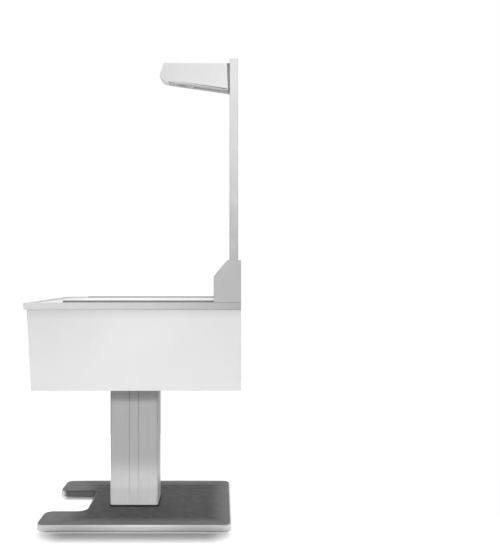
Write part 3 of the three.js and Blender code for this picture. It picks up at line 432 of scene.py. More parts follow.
def lathe(profile, centre, axis="z", sides=48):
    """A closed turned shape from (radius, height) points, the first and last on the axis."""
    shape = bmesh.new()
    rings = []
    for radius, height in profile:
        if radius == 0:
            rings.append([shape.verts.new((0, 0, height))])
            continue
        rings.append([shape.verts.new((x, y, height)) for x, y in circle(0, 0, radius, sides)])
    for low, high in zip(rings, rings[1:]):
        for i in range(sides):
            j = (i + 1) % sides
            corners = [low[i % len(low)], low[j % len(low)], high[j % len(high)], high[i % len(high)]]
            shape.faces.new(list(dict.fromkeys(corners)))
    mesh = bpy.data.meshes.new("lathe")
    shape.to_mesh(mesh)
    shape.free()
    mesh.transform(Matrix.Translation(centre) @ TURN[axis])
    return cleaned(mesh)


def block(low, high, radius=0.001, segments=3):
    """A box with all its edges rounded."""
    shape = bmesh.new()
    bmesh.ops.create_cube(shape, size=1.0)
    size = Vector(high) - Vector(low)
    centre = (Vector(high) + Vector(low)) / 2
    matrix = Matrix.Translation(centre) @ Matrix.Diagonal((*size, 1))
    bmesh.ops.transform(shape, matrix=matrix, verts=shape.verts)
    rounding = {"offset": radius, "segments": segments, "profile": 0.5}
    bmesh.ops.bevel(shape, geom=shape.edges[:], affect="EDGES", clamp_overlap=True, **rounding)
    mesh = bpy.data.meshes.new("block")
    shape.to_mesh(mesh)
    shape.free()
    return cleaned(mesh)


def moved(mesh, matrix):
    mesh.transform(matrix)
    return mesh


def together(meshes):
    """Several closed solids in one mesh."""
    shape = bmesh.new()
    for mesh in meshes:
        shape.from_mesh(mesh)
    joined = bpy.data.meshes.new("joined")
    shape.to_mesh(joined)
    shape.free()
    return joined


def carved(mesh, cutters, operation="DIFFERENCE"):
    """The mesh after a boolean with each cutter."""
    base = bpy.data.objects.new("carved", mesh)
    bpy.context.scene.collection.objects.link(base)
    tools = []
    for cutter in cutters:
        tool = bpy.data.objects.new("cutter", cutter)
        bpy.context.scene.collection.objects.link(tool)
        tools.append(tool)
        modifier = base.modifiers.new("cut", "BOOLEAN")
        modifier.operation = operation
        modifier.solver = "MANIFOLD"
        modifier.object = tool
    result = evaluated(base)
    for obj in [base, *tools]:
        bpy.data.objects.remove(obj)
    return cleaned(result)


def piece(name, mesh, material, node, replaced=True, smooth=35):
    """Adds one visible piece: it rides with, and may stand for, a CAD node."""
    mesh.materials.clear()
    mesh.materials.append(MATERIALS[material].material)
    mesh.polygons.foreach_set("use_smooth", [True] * len(mesh.polygons))
    mesh.set_sharp_from_angle(angle=math.radians(smooth))
    obj = bpy.data.objects.new(name, mesh)
    bpy.context.scene.collection.objects.link(obj)
    modifier = obj.modifiers.new("normals", "WEIGHTED_NORMAL")
    modifier.keep_sharp = True
    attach(obj, BODY_OF[node])
    if replaced:
        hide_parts(node)
    return obj


def keep(node, material):
    """A CAD node whose own shape is right gets its material."""
    obj = frame["nodes"][node]
    obj.data.materials.clear()
    obj.data.materials.append(MATERIALS[material].material)


def screw_head(x, y, z, facing="y", radius=3.2 * MM):
    """A domed screw head with a round socket, standing 1 mm proud."""
    profile = [(0, -0.4 * MM), (radius, -0.4 * MM), (radius, 0.35 * MM), (radius * 0.75, 0.85 * MM)]
    profile += [(radius * 0.5, 1.0 * MM), (radius * 0.42, 0.2 * MM), (0, 0.2 * MM)]
    return lathe(profile, (x, y, z), facing, 18)


# Floor plate ------------------------------------------------------------------------------------

NOTCH_HALF = 0.132
NOTCH_END = -0.208
TIP_RADIUS = 0.032
NOTCH_RADIUS = 0.038
REAR_RADIUS = 0.030
COVER_INSET = 0.004
FOOT_RADIUS = 0.025


def floor_outline(inset):
    side = BASE_HI.x - inset
    front = BASE_LO.y + inset
    rear = BASE_HI.y - inset
    notch = NOTCH_HALF + inset
    end = NOTCH_END + inset
    tip = TIP_RADIUS - inset
    hollow = NOTCH_RADIUS + inset
    back = REAR_RADIUS - inset
    corners = [
        (-side, front, tip),
        (-notch, front, tip),
        (-notch, end, hollow),
        (notch, end, hollow),
        (notch, front, tip),
        (side, front, tip),
        (side, rear, back),
        (-side, rear, back),
    ]
    return rounded(corners, 12)


def add_floor_plate():
    plate = slab([floor_outline(0)], "z", BASE_LO.z, BASE_HI.z, 0.0022, 4)
    piece("floor_plate", plate, "silver", "base_plate")
    low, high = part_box("base_cover")
    cover = slab([floor_outline(COVER_INSET)], "z", low.z, high.z, 0.0007, 3)
    piece("floor_cover", cover, "cover", "base_cover")
    for i in range(1, 5):
        low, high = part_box(f"levelling_foot_{i}")
        middle = (low + high) / 2
        top = BASE_LO.z - 0.3 * MM
        pad = [(0, 0), (0.021, 0), (0.0235, 0.6 * MM), (FOOT_RADIUS, 2 * MM), (FOOT_RADIUS, 3.6 * MM)]
        pad += [(0.0238, 4.8 * MM), (0.014, 5.4 * MM), (0.0125, top), (0.006, top), (0.006, high.z - 1 * MM)]
        pad += [(0.005, high.z), (0, high.z)]
        foot = lathe(pad, (middle.x, middle.y, 0), "z", 64)
        piece(f"foot_{i}", foot, "rubber", f"levelling_foot_{i}")


# Lifting column ---------------------------------------------------------------------------------

GROOVE_HALF_SPACING = 0.018
GROOVE_HALF = 0.0015
GROOVE_DEPTH = 0.0028
TUBE_RADIUS = 0.008


def grooved_outline(low, high, radius):
    """A column section with two square grooves in each side that faces along X."""
    middle = (low.y + high.y) / 2

    def side(x, depth, direction):
        points = []
        for end in (-direction, direction):
            centre = middle + end * GROOVE_HALF_SPACING
            near = centre - direction * GROOVE_HALF
            far = centre + direction * GROOVE_HALF
            points += [(x, near, 0.3 * MM), (x - depth, near, 0.3 * MM)]
            points += [(x - depth, far, 0.3 * MM), (x, far, 0.3 * MM)]
        return points

    corners = [(low.x, low.y, radius), (high.x, low.y, radius), *side(high.x, GROOVE_DEPTH, 1)]
    corners += [(high.x, high.y, radius), (low.x, high.y, radius), *side(low.x, -GROOVE_DEPTH, -1)]
    return rounded(corners, 6)


def box_outline(low, high, inset, radius):
    return oblong(low.x + inset, high.x - inset, low.y + inset, high.y - inset, radius)


def add_column():
    low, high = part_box("column_outer_tube")
    wall = 0.004
    loops = [grooved_outline(low, high, TUBE_RADIUS), box_outline(low, high, wall, 0.004)]
    outer = slab(loops, "z", low.z, high.z, 0.3 * MM)
    piece("column_tube", outer, "column", "column_outer_tube")

    low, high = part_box("column_inner_tube")
    loops = [grooved_outline(low, high, 0.006), box_outline(low, high, 0.0035, 0.0025)]
    inner = slab(loops, "z", low.z, high.z, 0.3 * MM)
    piece("column_stage", inner, "stage", "column_inner_tube")

    low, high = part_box("column_top_flange")
    flange = slab([box_outline(low, high, 0, TUBE_RADIUS)], "z", low.z, high.z, 0.8 * MM)
    piece("stage_flange", flange, "stage", "column_top_flange")

    low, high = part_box("column_wiper_collar")
    loops = [box_outline(low, high, 0, 0.009), box_outline(low, high, 0.0075, 0.0065)]
    collar = slab(loops, "z", low.z, high.z, 1.2 * MM, 3)
    piece("wiper_collar", collar, "black", "column_wiper_collar")

    low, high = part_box("column_foot_gasket")
    loops = [box_outline(low, high, 0, 0.012), box_outline(low, high, 0.0036, 0.0084)]
    gasket = slab(loops, "z", low.z, high.z, 1.2 * MM, 3)
    piece("foot_gasket", gasket, "rubber", "column_foot_gasket")
    keep("column_glide_liner", "liner")
    keep("lift_motor", "black")
    keep("lift_spindle", "steel")
    keep("spindle_nut", "brass")


# Cabinet ----------------------------------------------------------------------------------------

LEAN = math.atan2(0.016, FRONT_HI.z - FRONT_LO.z)
SWITCH_DROP = 0.046


def lean_frame(x=0.0, drop=0.0):
    """A frame on the front panel: X across, Z up the panel, Y into the cabinet."""
    down = Matrix.Translation((0, 0, -drop))
    corner = Matrix.Translation((x, PANEL_LO.y, FRONT_HI.z))
    return corner @ Matrix.Rotation(LEAN, 4, "X") @ down


def add_cabinet():
    lean = math.tan(LEAN) * (PANEL_HI.z - PANEL_LO.z)
    side = [(PANEL_LO.y + lean, PANEL_LO.z, 0.002), (PANEL_HI.y, PANEL_LO.z, 0.002)]
    side += [(PANEL_HI.y, PANEL_HI.z, 0.001), (PANEL_LO.y, PANEL_HI.z, 0.001)]
    for name in ("left", "right"):
        node = f"cabinet_{name}_panel"
        low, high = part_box(node)
        piece(f"side_panel_{name}", slab([rounded(side)], "x", low.x, high.x, 0.8 * MM), "white", node)

    height = (FRONT_HI.z - FRONT_LO.z) / math.cos(LEAN)
    window = SWITCH_BODY[0] / 2 + 0.4 * MM
    window_z = SWITCH_BODY[1] / 2 + 0.4 * MM
    sheet = oblong(FRONT_LO.x, FRONT_HI.x, -height + 0.2 * MM, -0.2 * MM, 0.001)
    low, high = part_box("height_switch_housing")
    switch_x = (low.x + high.x) / 2
    hole_z = (-SWITCH_DROP - window_z, -SWITCH_DROP + window_z)
    hole = oblong(switch_x - window, switch_x + window, *hole_z, 0.001)
    front = slab([sheet, hole], "y", 0.0, SHEET, 0.7 * MM, place=lean_frame())
    piece("front_panel", front, "white", "cabinet_front_panel")

    low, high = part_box("cabinet_rear_panel")
    sheet = slab([oblong(low.x, high.x, low.z, high.z, 0.002)], "y", high.y - SHEET, high.y, 0.7 * MM)
    fold_low = (high.x - SHEET, low.y, low.z + 0.5 * MM)
    fold_high = (high.x, high.y - SHEET + 0.5 * MM, high.z - 0.5 * MM)
    fold = block(fold_low, fold_high, 0.6 * MM)
    piece("rear_panel", together([sheet, fold]), "white", "cabinet_rear_panel")
    inset = 0.014
    for i, (x, z) in enumerate(grid(low.x + inset, high.x - 2 * inset, 4, low.z + inset, high.z - inset, 2)):
        head = screw_head(x, high.y - 0.6 * MM, z, "y")
        piece(f"rear_screw_{i + 1}", head, "steel", "cabinet_rear_panel", False)

    low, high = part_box("cabinet_bottom_pan")
    inlet_lo, inlet_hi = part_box("power_inlet")
    margin = 4.6 * MM
    hole_y = (inlet_lo.y + 6.6 * MM, inlet_hi.y - 6.6 * MM)
    hole = oblong(inlet_lo.x + margin, inlet_hi.x - margin, *hole_y, 0.001)
    pan = slab([oblong(low.x, high.x, low.y, high.y, 0.003), hole], "z", low.z, high.z, 0.7 * MM)
    piece("bottom_pan", pan, "white", "cabinet_bottom_pan")
    low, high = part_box("column_top_flange")
    for i, (x, y) in enumerate(grid(low.x - 0.012, high.x + 0.012, 2, low.y + 0.02, high.y - 0.02, 3)):
        bolt = hexagon_bolt(x, y, FRONT_LO.z)
        piece(f"pan_bolt_{i + 1}", bolt, "steel", "cabinet_bottom_pan", False)

    for name in ("left", "right"):
        node = f"mounting_beam_{name}"
        low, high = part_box(node)
        section = oblong(low.x, high.x, low.z, high.z, 0.003)
        hollow = oblong(low.x + 0.003, high.x - 0.003, low.z + 0.003, high.z - 0.003, 0.001)
        piece(f"beam_{name}", slab([section, hollow], "y", low.y, high.y, 0.3 * MM), "steel", node)


def grid(x0, x1, nx, y0, y1, ny):
    xs = [x0 + (x1 - x0) * i / (nx - 1) for i in range(nx)]
    ys = [y0 + (y1 - y0) * i / (ny - 1) for i in range(ny)]
    return [(x, y) for x in xs for y in ys]


def hexagon_bolt(x, y, z):
    """A hexagon head and washer hanging below the pan."""
    washer = slab([circle(x, y, 8 * MM, 32)], "z", z - 1.6 * MM, z - 0.1 * MM, 0.3 * MM)
    head = slab([circle(x, y, 6 * MM, 6)], "z", z - 5.6 * MM, z - 1.5 * MM, 0.6 * MM)
    return together([washer, head])


# Counter ----------------------------------------------------------------------------------------


def add_counter():
    radius = 0.0022
    for name in ("left", "right"):
        node = f"counter_rail_{name}"
        low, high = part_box(node)
        rail = slab([oblong(low.x, high.x, low.z, high.z, radius)], "y", low.y, high.y, 0.0015, 3)
        piece(f"rim_{name}", rail, "rail", node)
    low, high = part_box("counter_rail_front")
    rail = slab([oblong(low.y, high.y, low.z, high.z, radius)], "x", low.x, high.x, 0.2 * MM)
    piece("rim_front", rail, "rail", "counter_rail_front")
    low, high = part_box("counter_rail_rear")
    keep("counter_rail_rear", "rail")

    deck_lo, deck_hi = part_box("counter_deck")
    sleeve_lo, sleeve_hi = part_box("mast_guide_sleeve")
    gap = 0.5 * MM
    outline = rounded([
        (deck_lo.x, deck_lo.y, 0.002), (deck_hi.x, deck_lo.y, 0.002), (deck_hi.x, deck_hi.y, 0.002),
        (sleeve_hi.x + gap, deck_hi.y, 0), (sleeve_hi.x + gap, sleeve_lo.y - gap, 0.001),
        (sleeve_lo.x - gap, sleeve_lo.y - gap, 0.001), (sleeve_lo.x - gap, deck_hi.y, 0),
        (deck_lo.x, deck_hi.y, 0.002),
    ])
    holes = [circle(x, y, 0.008) for x, y in post_places()]
    deck = slab([outline, *holes], "z", deck_lo.z, deck_hi.z, 0.4 * MM)
    piece("deck", deck, "deck", "counter_deck")

    low, high = PLATTER_LO, PLATTER_HI
    platter = slab([oblong(low.x, high.x, low.y, high.y, 0.004, 8)], "z", low.z, high.z, 0.9 * MM, 3)
    piece("platter", platter, "platter", "scale_platter")
    for name in ("left", "right"):
        node = f"platter_guide_{name}"
        low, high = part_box(node)
        section = rounded([
            (low.x, low.z, 0.5 * MM), (high.x, low.z, 0.5 * MM),
            (high.x, high.z, 0.0025), (low.x, high.z, 0.0025),
        ])
        strip = slab([section], "y", low.y, high.y, 0.8 * MM)
        piece(f"guide_{name}", strip, "guide", node)

    low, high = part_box("scale_load_cell")
    centre = Vector(((low.x + high.x) / 2, (low.y + high.y) / 2, 0))
    arms = []
    for angle in (45, -45):
        half = POST_HALF * math.sqrt(2) + 0.012
        turn = Matrix.Translation(centre) @ Matrix.Rotation(math.radians(angle), 4, "Z")
        arm = oblong(-half, half, -0.013, 0.013, 0.006)
        arms.append(slab([arm], "z", low.z, low.z + 0.006, 0.5 * MM, place=turn))
    cell_z = (low.z + 0.006, deck_lo.z - 0.3 * MM)
    section = oblong(-0.065, 0.065, cell_z[0], cell_z[1], 0.001)
    holes = [circle(side * 0.014, sum(cell_z) / 2, 0.0065) for side in (-1, 1)]
    arms.append(slab([section, *holes], "y", centre.y - 0.015, centre.y + 0.015, 0.4 * MM))
    tall = high.z - low.z
    post = [(0, 0), (0.006, 0), (0.006, tall), (0, tall)]
    arms += [lathe(post, (x, y, low.z)) for x, y in post_places()]
    piece("load_cell", together(arms), "cell", "scale_load_cell")


POST_HALF = 0.130


def post_places():
    middle = (PLATTER_LO.y + PLATTER_HI.y) / 2
    return [(i * POST_HALF, middle + j * POST_HALF) for i in (-1, 1) for j in (-1, 1)]


# Upstand ----------------------------------------------------------------------------------------

SLOPE_BOTTOM = 0.9425
SLOPE_TOP_Y = 0.337
SLOPE = math.atan2(CAP_HI.z - SLOPE_BOTTOM, SLOPE_TOP_Y - CAP_LO.y)
SLOPE_LENGTH = math.hypot(CAP_HI.z - SLOPE_BOTTOM, SLOPE_TOP_Y - CAP_LO.y)
SLOPE_FRAME = Matrix.Translation((0, CAP_LO.y, SLOPE_BOTTOM)) @ Matrix.Rotation(SLOPE, 4, "X")
WINDOW = (0.012, 0.064)  # along the slope
DISPLAY_HALF = 0.100
READER_X = 0.193
READER_HALF = 0.043
RECEIPT_X = -0.275
RECEIPT_Z = 0.905
SPEAKER_X = 0.275


def add_upstand():
    cap = [(CAP_LO.y, CAP_LO.z, 0.001), (CAP_HI.y, CAP_LO.z, 0.001), (CAP_HI.y, CAP_HI.z, 0.002)]
    cap += [(SLOPE_TOP_Y, CAP_HI.z, 0.002), (CAP_LO.y, SLOPE_BOTTOM, 0.002)]
    for name in ("left", "right"):
        node = f"upstand_{name}_cap"
        low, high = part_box(node)
        piece(f"end_cap_{name}", slab([rounded(cap)], "x", low.x, high.x, 0.8 * MM), "grey", node)

    low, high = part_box("upstand_front_panel")
    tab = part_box("counter_rail_front")[1].x - 0.3 * MM
    rail_top = COUNTER_TOP + 0.3 * MM
    outline = rounded([
        (-tab, low.z, 0), (tab, low.z, 0), (tab, rail_top, 0), (high.x, rail_top, 0.001),
        (high.x, high.z, 0), (low.x, high.z, 0), (low.x, rail_top, 0.001), (-tab, rail_top, 0),
    ])
    slot = oblong(RECEIPT_X - 0.042, RECEIPT_X + 0.042, RECEIPT_Z - 0.0035, RECEIPT_Z + 0.0035, 0.001)
    speaker = [
        oblong(SPEAKER_X - 0.032, SPEAKER_X + 0.032, z - 0.0015, z + 0.0015, 0.0014)
        for z in (RECEIPT_Z + (i - 2) * 0.008 for i in range(5))
    ]
    front = slab([outline, slot, *speaker], "y", low.y, high.y, 0.4 * MM)
    piece("upstand_front", front, "grey", "upstand_front_panel")
    frame_out = oblong(RECEIPT_X - 0.054, RECEIPT_X + 0.054, RECEIPT_Z - 0.014, RECEIPT_Z + 0.014, 0.005)
    frame_in = oblong(RECEIPT_X - 0.0415, RECEIPT_X + 0.0415, RECEIPT_Z - 0.003, RECEIPT_Z + 0.003, 0.002)
    surround = slab([frame_out, frame_in], "y", low.y - 2.2 * MM, low.y - 0.1 * MM, 0.9 * MM, 3)
    piece("receipt_frame", surround, "black", "upstand_front_panel", False)

    wide = high.x
    corner = 0.2 * MM
    bezel_out = oblong(-wide, wide, corner, SLOPE_LENGTH - corner, 0)
    display_hole = oblong(-DISPLAY_HALF, DISPLAY_HALF, *WINDOW, 0.002)
    reader_hole = oblong(READER_X - READER_HALF, READER_X + READER_HALF, *WINDOW, 0.002)
    bezel = slab([bezel_out, display_hole, reader_hole], "z", -SHEET, 0, 0.4 * MM, place=SLOPE_FRAME)
    piece("slope_panel", bezel, "grey", "display_bezel")

    fit = 0.4 * MM
    glass = oblong(-DISPLAY_HALF + fit, DISPLAY_HALF - fit, WINDOW[0] + fit, WINDOW[1] - fit, 0.002)
    display = slab([glass], "z", -0.0143, -0.3 * MM, 0.5 * MM, place=SLOPE_FRAME)
    piece("display", display, "glass", "touch_display")
    image = oblong(-0.088, 0.088, WINDOW[0] + 0.007, WINDOW[1] - 0.007, 0.001)
    picture = slab([image], "z", -0.35 * MM, -0.2 * MM, 0.03 * MM, place=SLOPE_FRAME)
    piece("display_image", picture, "screen", "touch_display", False)
    for i in range(3):
        x = -0.06 + i * 0.06
        tile = oblong(x - 0.022, x + 0.022, WINDOW[0] + 0.015, WINDOW[1] - 0.013, 0.004)
        inner = oblong(x - 0.0205, x + 0.0205, WINDOW[0] + 0.0165, WINDOW[1] - 0.0145, 0.003)
        outline = slab([tile, inner], "z", -0.25 * MM, -0.1 * MM, 0.03 * MM, place=SLOPE_FRAME)
        piece(f"display_tile_{i + 1}", outline, "mark", "touch_display", False)

    reader_x = (READER_X - READER_HALF + fit, READER_X + READER_HALF - fit)
    outline = oblong(*reader_x, WINDOW[0] + fit, WINDOW[1] - fit, 0.003)
    reader = slab([outline], "z", -0.0168, 1.2 * MM, 0.8 * MM, 3, place=SLOPE_FRAME)
    piece("reader_body", reader, "black", "card_reader")
    pad = oblong(READER_X - 0.036, READER_X + 0.036, WINDOW[0] + 0.006, WINDOW[1] - 0.012, 0.003)
    window = slab([pad], "z", 1.0 * MM, 1.35 * MM, 0.1 * MM, place=SLOPE_FRAME)
    piece("reader_window", window, "glass", "card_reader", False)
    for i in range(4):
        x = READER_X - 0.018 + i * 0.012
        lens = oblong(x - 0.003, x + 0.003, WINDOW[1] - 0.009, WINDOW[1] - 0.007, 0.0009)
        led = slab([lens], "z", 1.1 * MM, 1.4 * MM, 0.1 * MM, place=SLOPE_FRAME)
        piece(f"reader_led_{i + 1}", led, "led_green", "card_reader", False)

    top_lo, top_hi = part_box("upstand_top_panel")
    pass_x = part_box("mast_tube")[1].x + 0.5 * MM
    pass_y = MAST_LO.y - 0.5 * MM
    outline = rounded([
        (top_lo.x, SLOPE_TOP_Y + 0.4 * MM, 0), (top_hi.x, SLOPE_TOP_Y + 0.4 * MM, 0), (top_hi.x, top_hi.y, 0),
        (pass_x, top_hi.y, 0), (pass_x, pass_y, 0.002), (-pass_x, pass_y, 0.002), (-pass_x, top_hi.y, 0),
        (top_lo.x, top_hi.y, 0),
    ])
    piece("upstand_top", slab([outline], "z", top_lo.z, top_hi.z, 0.4 * MM), "grey", "upstand_top_panel")
    low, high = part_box("upstand_rear_panel")
    rear = slab([oblong(low.x, high.x, low.z, high.z, 0.002)], "y", low.y, high.y, 0.7 * MM)
    piece("upstand_rear", rear, "grey", "upstand_rear_panel")
    inset = 0.014
    for i, (x, z) in enumerate(grid(low.x + inset, high.x - inset, 5, low.z + inset, high.z - inset, 2)):
        head = screw_head(x, high.y - 0.6 * MM, z, "y")
        piece(f"upstand_screw_{i + 1}", head, "steel", "upstand_rear_panel", False)
    keep("receipt_printer", "case")


# Mast and head ----------------------------------------------------------------------------------

HEAD_TOP_FRONT_Y = 0.086
HEAD_TIP = (0.068, 1.749)
HEAD_CHIN = (0.098, 1.727)
HEAD_FALL = math.atan2(HEAD_CHIN[1] - HEAD_LO.z, HEAD_HI.y - HEAD_CHIN[0])
UNDER_FRAME = Matrix.Translation((0, *HEAD_CHIN)) @ Matrix.Rotation(-HEAD_FALL, 4, "X")
TRAY = (0.005, 0.246)
TRAY_HALF = 0.0305
LIGHT = (0.110, 0.234)
LIGHT_MARGIN = 0.004
LIGHT_HALF = 0.023
LENS_AT = 0.062
LENS_RADIUS = 0.017


def add_mast():
    section = oblong(MAST_LO.x, MAST_HI.x, MAST_LO.y, MAST_HI.y, 0.003)
    bore = oblong(MAST_LO.x + 0.0025, MAST_HI.x - 0.0025, MAST_LO.y + 0.0025, MAST_HI.y - 0.0025, 0.001)
    piece("mast", slab([section, bore], "z", MAST_LO.z, MAST_HI.z, 0.3 * MM), "mast", "mast_tube")
    low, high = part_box("mast_end_cap")
    cap = slab([section], "z", MAST_HI.z + 0.3 * MM, high.z, 1.3 * MM, 3)
    wall = 0.0029
    plug_outline = oblong(low.x + wall, high.x - wall, low.y + wall, high.y - wall, 0.001)
    plug = slab([plug_outline], "z", low.z, MAST_HI.z + 0.5 * MM, 0.3 * MM)
    piece("mast_cap", together([cap, plug]), "mast", "mast_end_cap")
    low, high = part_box("mast_collar")
    ring = [box_outline(low, high, 0, 0.0045), box_outline(low, high, 0.002, 0.0025)]
    piece("mast_ring", slab(ring, "z", low.z, high.z, 0.7 * MM, 3), "head", "mast_collar")
    keep("mast_guide_sleeve", "liner")


def add_head():
    chin_y, chin_z = HEAD_CHIN
    rise = math.tan(HEAD_FALL)
    side = [(HEAD_TOP_FRONT_Y, HEAD_HI.z, 0.006), (*HEAD_TIP, 0.014)]
    side += [(chin_y - 0.014, chin_z + 0.014 * rise, 0.012)]
    side += [(HEAD_HI.y, HEAD_LO.z, 0.0015), (HEAD_HI.y, HEAD_HI.z, 0.0015)]
    shell = slab([rounded(side, 9)], "x", HEAD_LO.x, HEAD_HI.x, 0.0045, 5)
    wall, roof = 0.0028, 0.0035
    hollow = [(HEAD_TOP_FRONT_Y + 0.014, HEAD_HI.z - roof, 0.003)]
    hollow += [(HEAD_TIP[0] + 0.022, HEAD_TIP[1] + 0.004, 0.003)]
    hollow += [(HEAD_TIP[0] + 0.042, chin_z + 0.002, 0), (HEAD_HI.y - wall, HEAD_LO.z + 0.004, 0)]
    hollow += [(HEAD_HI.y - wall, HEAD_HI.z - roof, 0.002)]
    inside = slab([rounded(hollow)], "x", HEAD_LO.x + wall, HEAD_HI.x - wall, 0.002)
    gap = 0.4 * MM
    mouth_outline = oblong(-TRAY_HALF - gap, TRAY_HALF + gap, TRAY[0] - gap, TRAY[1] + 0.03, 0.006)
    mouth = slab([mouth_outline], "z", -0.03, 0.0064, 0.1 * MM, place=UNDER_FRAME)
    piece("head_shell", carved(shell, [inside, mouth]), "head", "head_housing", smooth=30)

    light = oblong(-LIGHT_HALF, LIGHT_HALF, *LIGHT, 0.003)
    lens_hole = circle(0, LENS_AT, LENS_RADIUS)
    tray_outline = rounded([
        (-TRAY_HALF, TRAY[0], 0.006),
        (TRAY_HALF, TRAY[0], 0.006),
        (TRAY_HALF, TRAY[1], 0.001),
        (-TRAY_HALF, TRAY[1], 0.001),
    ])
    tray = slab([tray_outline, light, lens_hole], "z", -0.002, 0.006, 0.0018, 4, place=UNDER_FRAME)
    piece("light_tray", tray, "head_grey", "head_light_tray")
    wide = LIGHT_HALF + LIGHT_MARGIN
    window = oblong(-wide, wide, LIGHT[0] - LIGHT_MARGIN, LIGHT[1] + LIGHT_MARGIN, 0.003)
    panel = slab([window], "z", 0.0063, 0.0143, 0.8 * MM, place=UNDER_FRAME)
    piece("light_window", panel, "diffuser", "light_panel")

    r = LENS_RADIUS - 0.4 * MM
    barrel = [(0, 0.033), (r, 0.033), (r, 0.0038), (r - 0.8 * MM, 0.0030)]
    barrel += [(r - 2.5 * MM, 0.0030), (r - 4 * MM, 0.0060)]
    barrel += [(r - 6 * MM, 0.0065), (0.45 * r, 0.0075), (0.42 * r, 0.0090), (0, 0.0090)]
    body = block((-0.022, LENS_AT - 0.022, 0.008), (0.022, LENS_AT + 0.022, 0.024), 0.0015)
    parts = [lathe(barrel, (0, LENS_AT, 0), "z", 64), body]
    camera = together([moved(part, UNDER_FRAME) for part in parts])
    piece("camera_unit", camera, "head_grey", "scan_camera")
    dome = [(0, 0.0053), (0.25 * r, 0.0057), (0.36 * r, 0.0065)]
    dome += [(0.40 * r, 0.0077), (0.40 * r, 0.0089), (0, 0.0089)]
    lens = moved(lathe(dome, (0, LENS_AT, 0), "z", 48), UNDER_FRAME)
    piece("camera_lens", lens, "glass", "scan_camera", False)

    low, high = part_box("head_mount_plate")
    mount = slab([oblong(low.x, high.x, low.z, high.z, 0.002)], "y", low.y, high.y, 0.8 * MM)
    piece("mount_strip", mount, "mount", "head_mount_plate")


# Height switch ----------------------------------------------------------------------------------

SWITCH_FLANGE = (0.074, 0.030, 0.0025)
SWITCH_BODY = (0.058, 0.021, 0.016)
BUTTON = (0.020, 0.014, 0.009)
BUTTON_X = 0.014
BUTTON_FACE = -0.0048


def add_height_switch():
    low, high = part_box("height_switch_housing")
    place = lean_frame((low.x + high.x) / 2, SWITCH_DROP)
    half_w, half_h = SWITCH_FLANGE[0] / 2, SWITCH_FLANGE[1] / 2
    pockets = []
    for x in (-BUTTON_X, BUTTON_X):
        reach_x, reach_z = BUTTON[0] / 2 + 0.4 * MM, BUTTON[1] / 2 + 0.4 * MM
        pockets.append(oblong(x - reach_x, x + reach_x, -reach_z, reach_z, 0.0018))
    rim = oblong(-half_w, half_w, -half_h, half_h, 0.005)
    flange = slab([rim, *pockets], "y", -0.0028, -0.0003, 0.9 * MM, 3, place)
    body_w, body_h = SWITCH_BODY[0] / 2, SWITCH_BODY[1] / 2
    body = oblong(-body_w, body_w, -body_h, body_h, 0.001)
    sleeve = slab([body, *pockets], "y", -0.0004, 0.008, 0.05 * MM, 1, place)
    back = slab([body], "y", 0.0082, 0.0152, 0.4 * MM, 2, place)
    piece("switch_bezel", together([flange, sleeve, back]), "black", "height_switch_housing")
    for name, x, sign in (("down", -BUTTON_X, -1), ("up", BUTTON_X, 1)):
        node = f"height_{name}_button"
        wide, tall, deep = BUTTON
        cap_low = (x - wide / 2, BUTTON_FACE, -tall / 2)
        cap = block(cap_low, (x + wide / 2, BUTTON_FACE + deep, tall / 2), 0.0016, 4)
        piece(f"{name}_key", moved(cap, place), "button", node)
        foot, tip = -0.0016 * sign, 0.0028 * sign
        arrow = [(x - 0.0032, foot, 0.0004), (x + 0.0032, foot, 0.0004), (x, tip, 0.0004)]
        arrow = arrow if sign > 0 else arrow[::-1]
        face = (BUTTON_FACE - 0.12 * MM, BUTTON_FACE + 0.1 * MM)
        mark = slab([rounded(arrow)], "y", *face, 0.04 * MM, 1, place)
        piece(f"{name}_mark", mark, "mark", node, False)


# Service door, electronics and inlet ------------------------------------------------------------


LOCK_Z = 0.680
LOCK_HOLE = 0.0093
VENT_COUNT = 7
VENT_TOP_Z = 0.760
VENT_PITCH = 0.014
VENT_OFFSET = 0.020  # from the door's middle
VENT_HALF = (0.075, 0.0025)
PIN_OFFSET = 0.005  # from the hinge edge, and from the face
PIN_RADIUS = 0.0025
PIN_BORE = 0.0028
LEAF_THICKNESS = 0.0018


def add_service_door():
    low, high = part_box("service_door")
    lock_lo, lock_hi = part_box("door_lock")
    lock_x = (lock_lo.x + lock_hi.x) / 2
    vent_x = (low.x + high.x) / 2 + VENT_OFFSET
    wide, tall = VENT_HALF
    vents = []
    for i in range(VENT_COUNT):
        z = VENT_TOP_Z - i * VENT_PITCH
        vents.append(oblong(vent_x - wide, vent_x + wide, z - tall, z + tall, 0.0024))
    outline = oblong(low.x, high.x, low.z, high.z, 0.003)
    lock_hole = circle(lock_x, LOCK_Z, LOCK_HOLE)
    skin = slab([outline, lock_hole, *vents], "y", high.y - SHEET, high.y, 0.7 * MM)
    piece("door_skin", skin, "white", "service_door")
    hem = oblong(low.x + SHEET, high.x - SHEET, low.z + SHEET, high.z - SHEET, 0.002)
    rim = slab([outline, hem], "y", low.y, high.y - SHEET - 0.1 * MM, 0.5 * MM)
    pin_x = high.x - PIN_OFFSET
    pin_y = high.y - PIN_OFFSET
    pin_hole = circle(pin_x, pin_y, PIN_BORE, 32)
    bore = slab([pin_hole], "z", low.z - 1 * MM, high.z + 1 * MM, 0.05 * MM)
    piece("door_hem", carved(rim, [bore]), "white", "service_door", False)
    add_lock(lock_x, high.y)
    for name, leaf_on_top in (("upper", True), ("lower", False)):
        add_hinge(name, leaf_on_top, pin_x, pin_y)


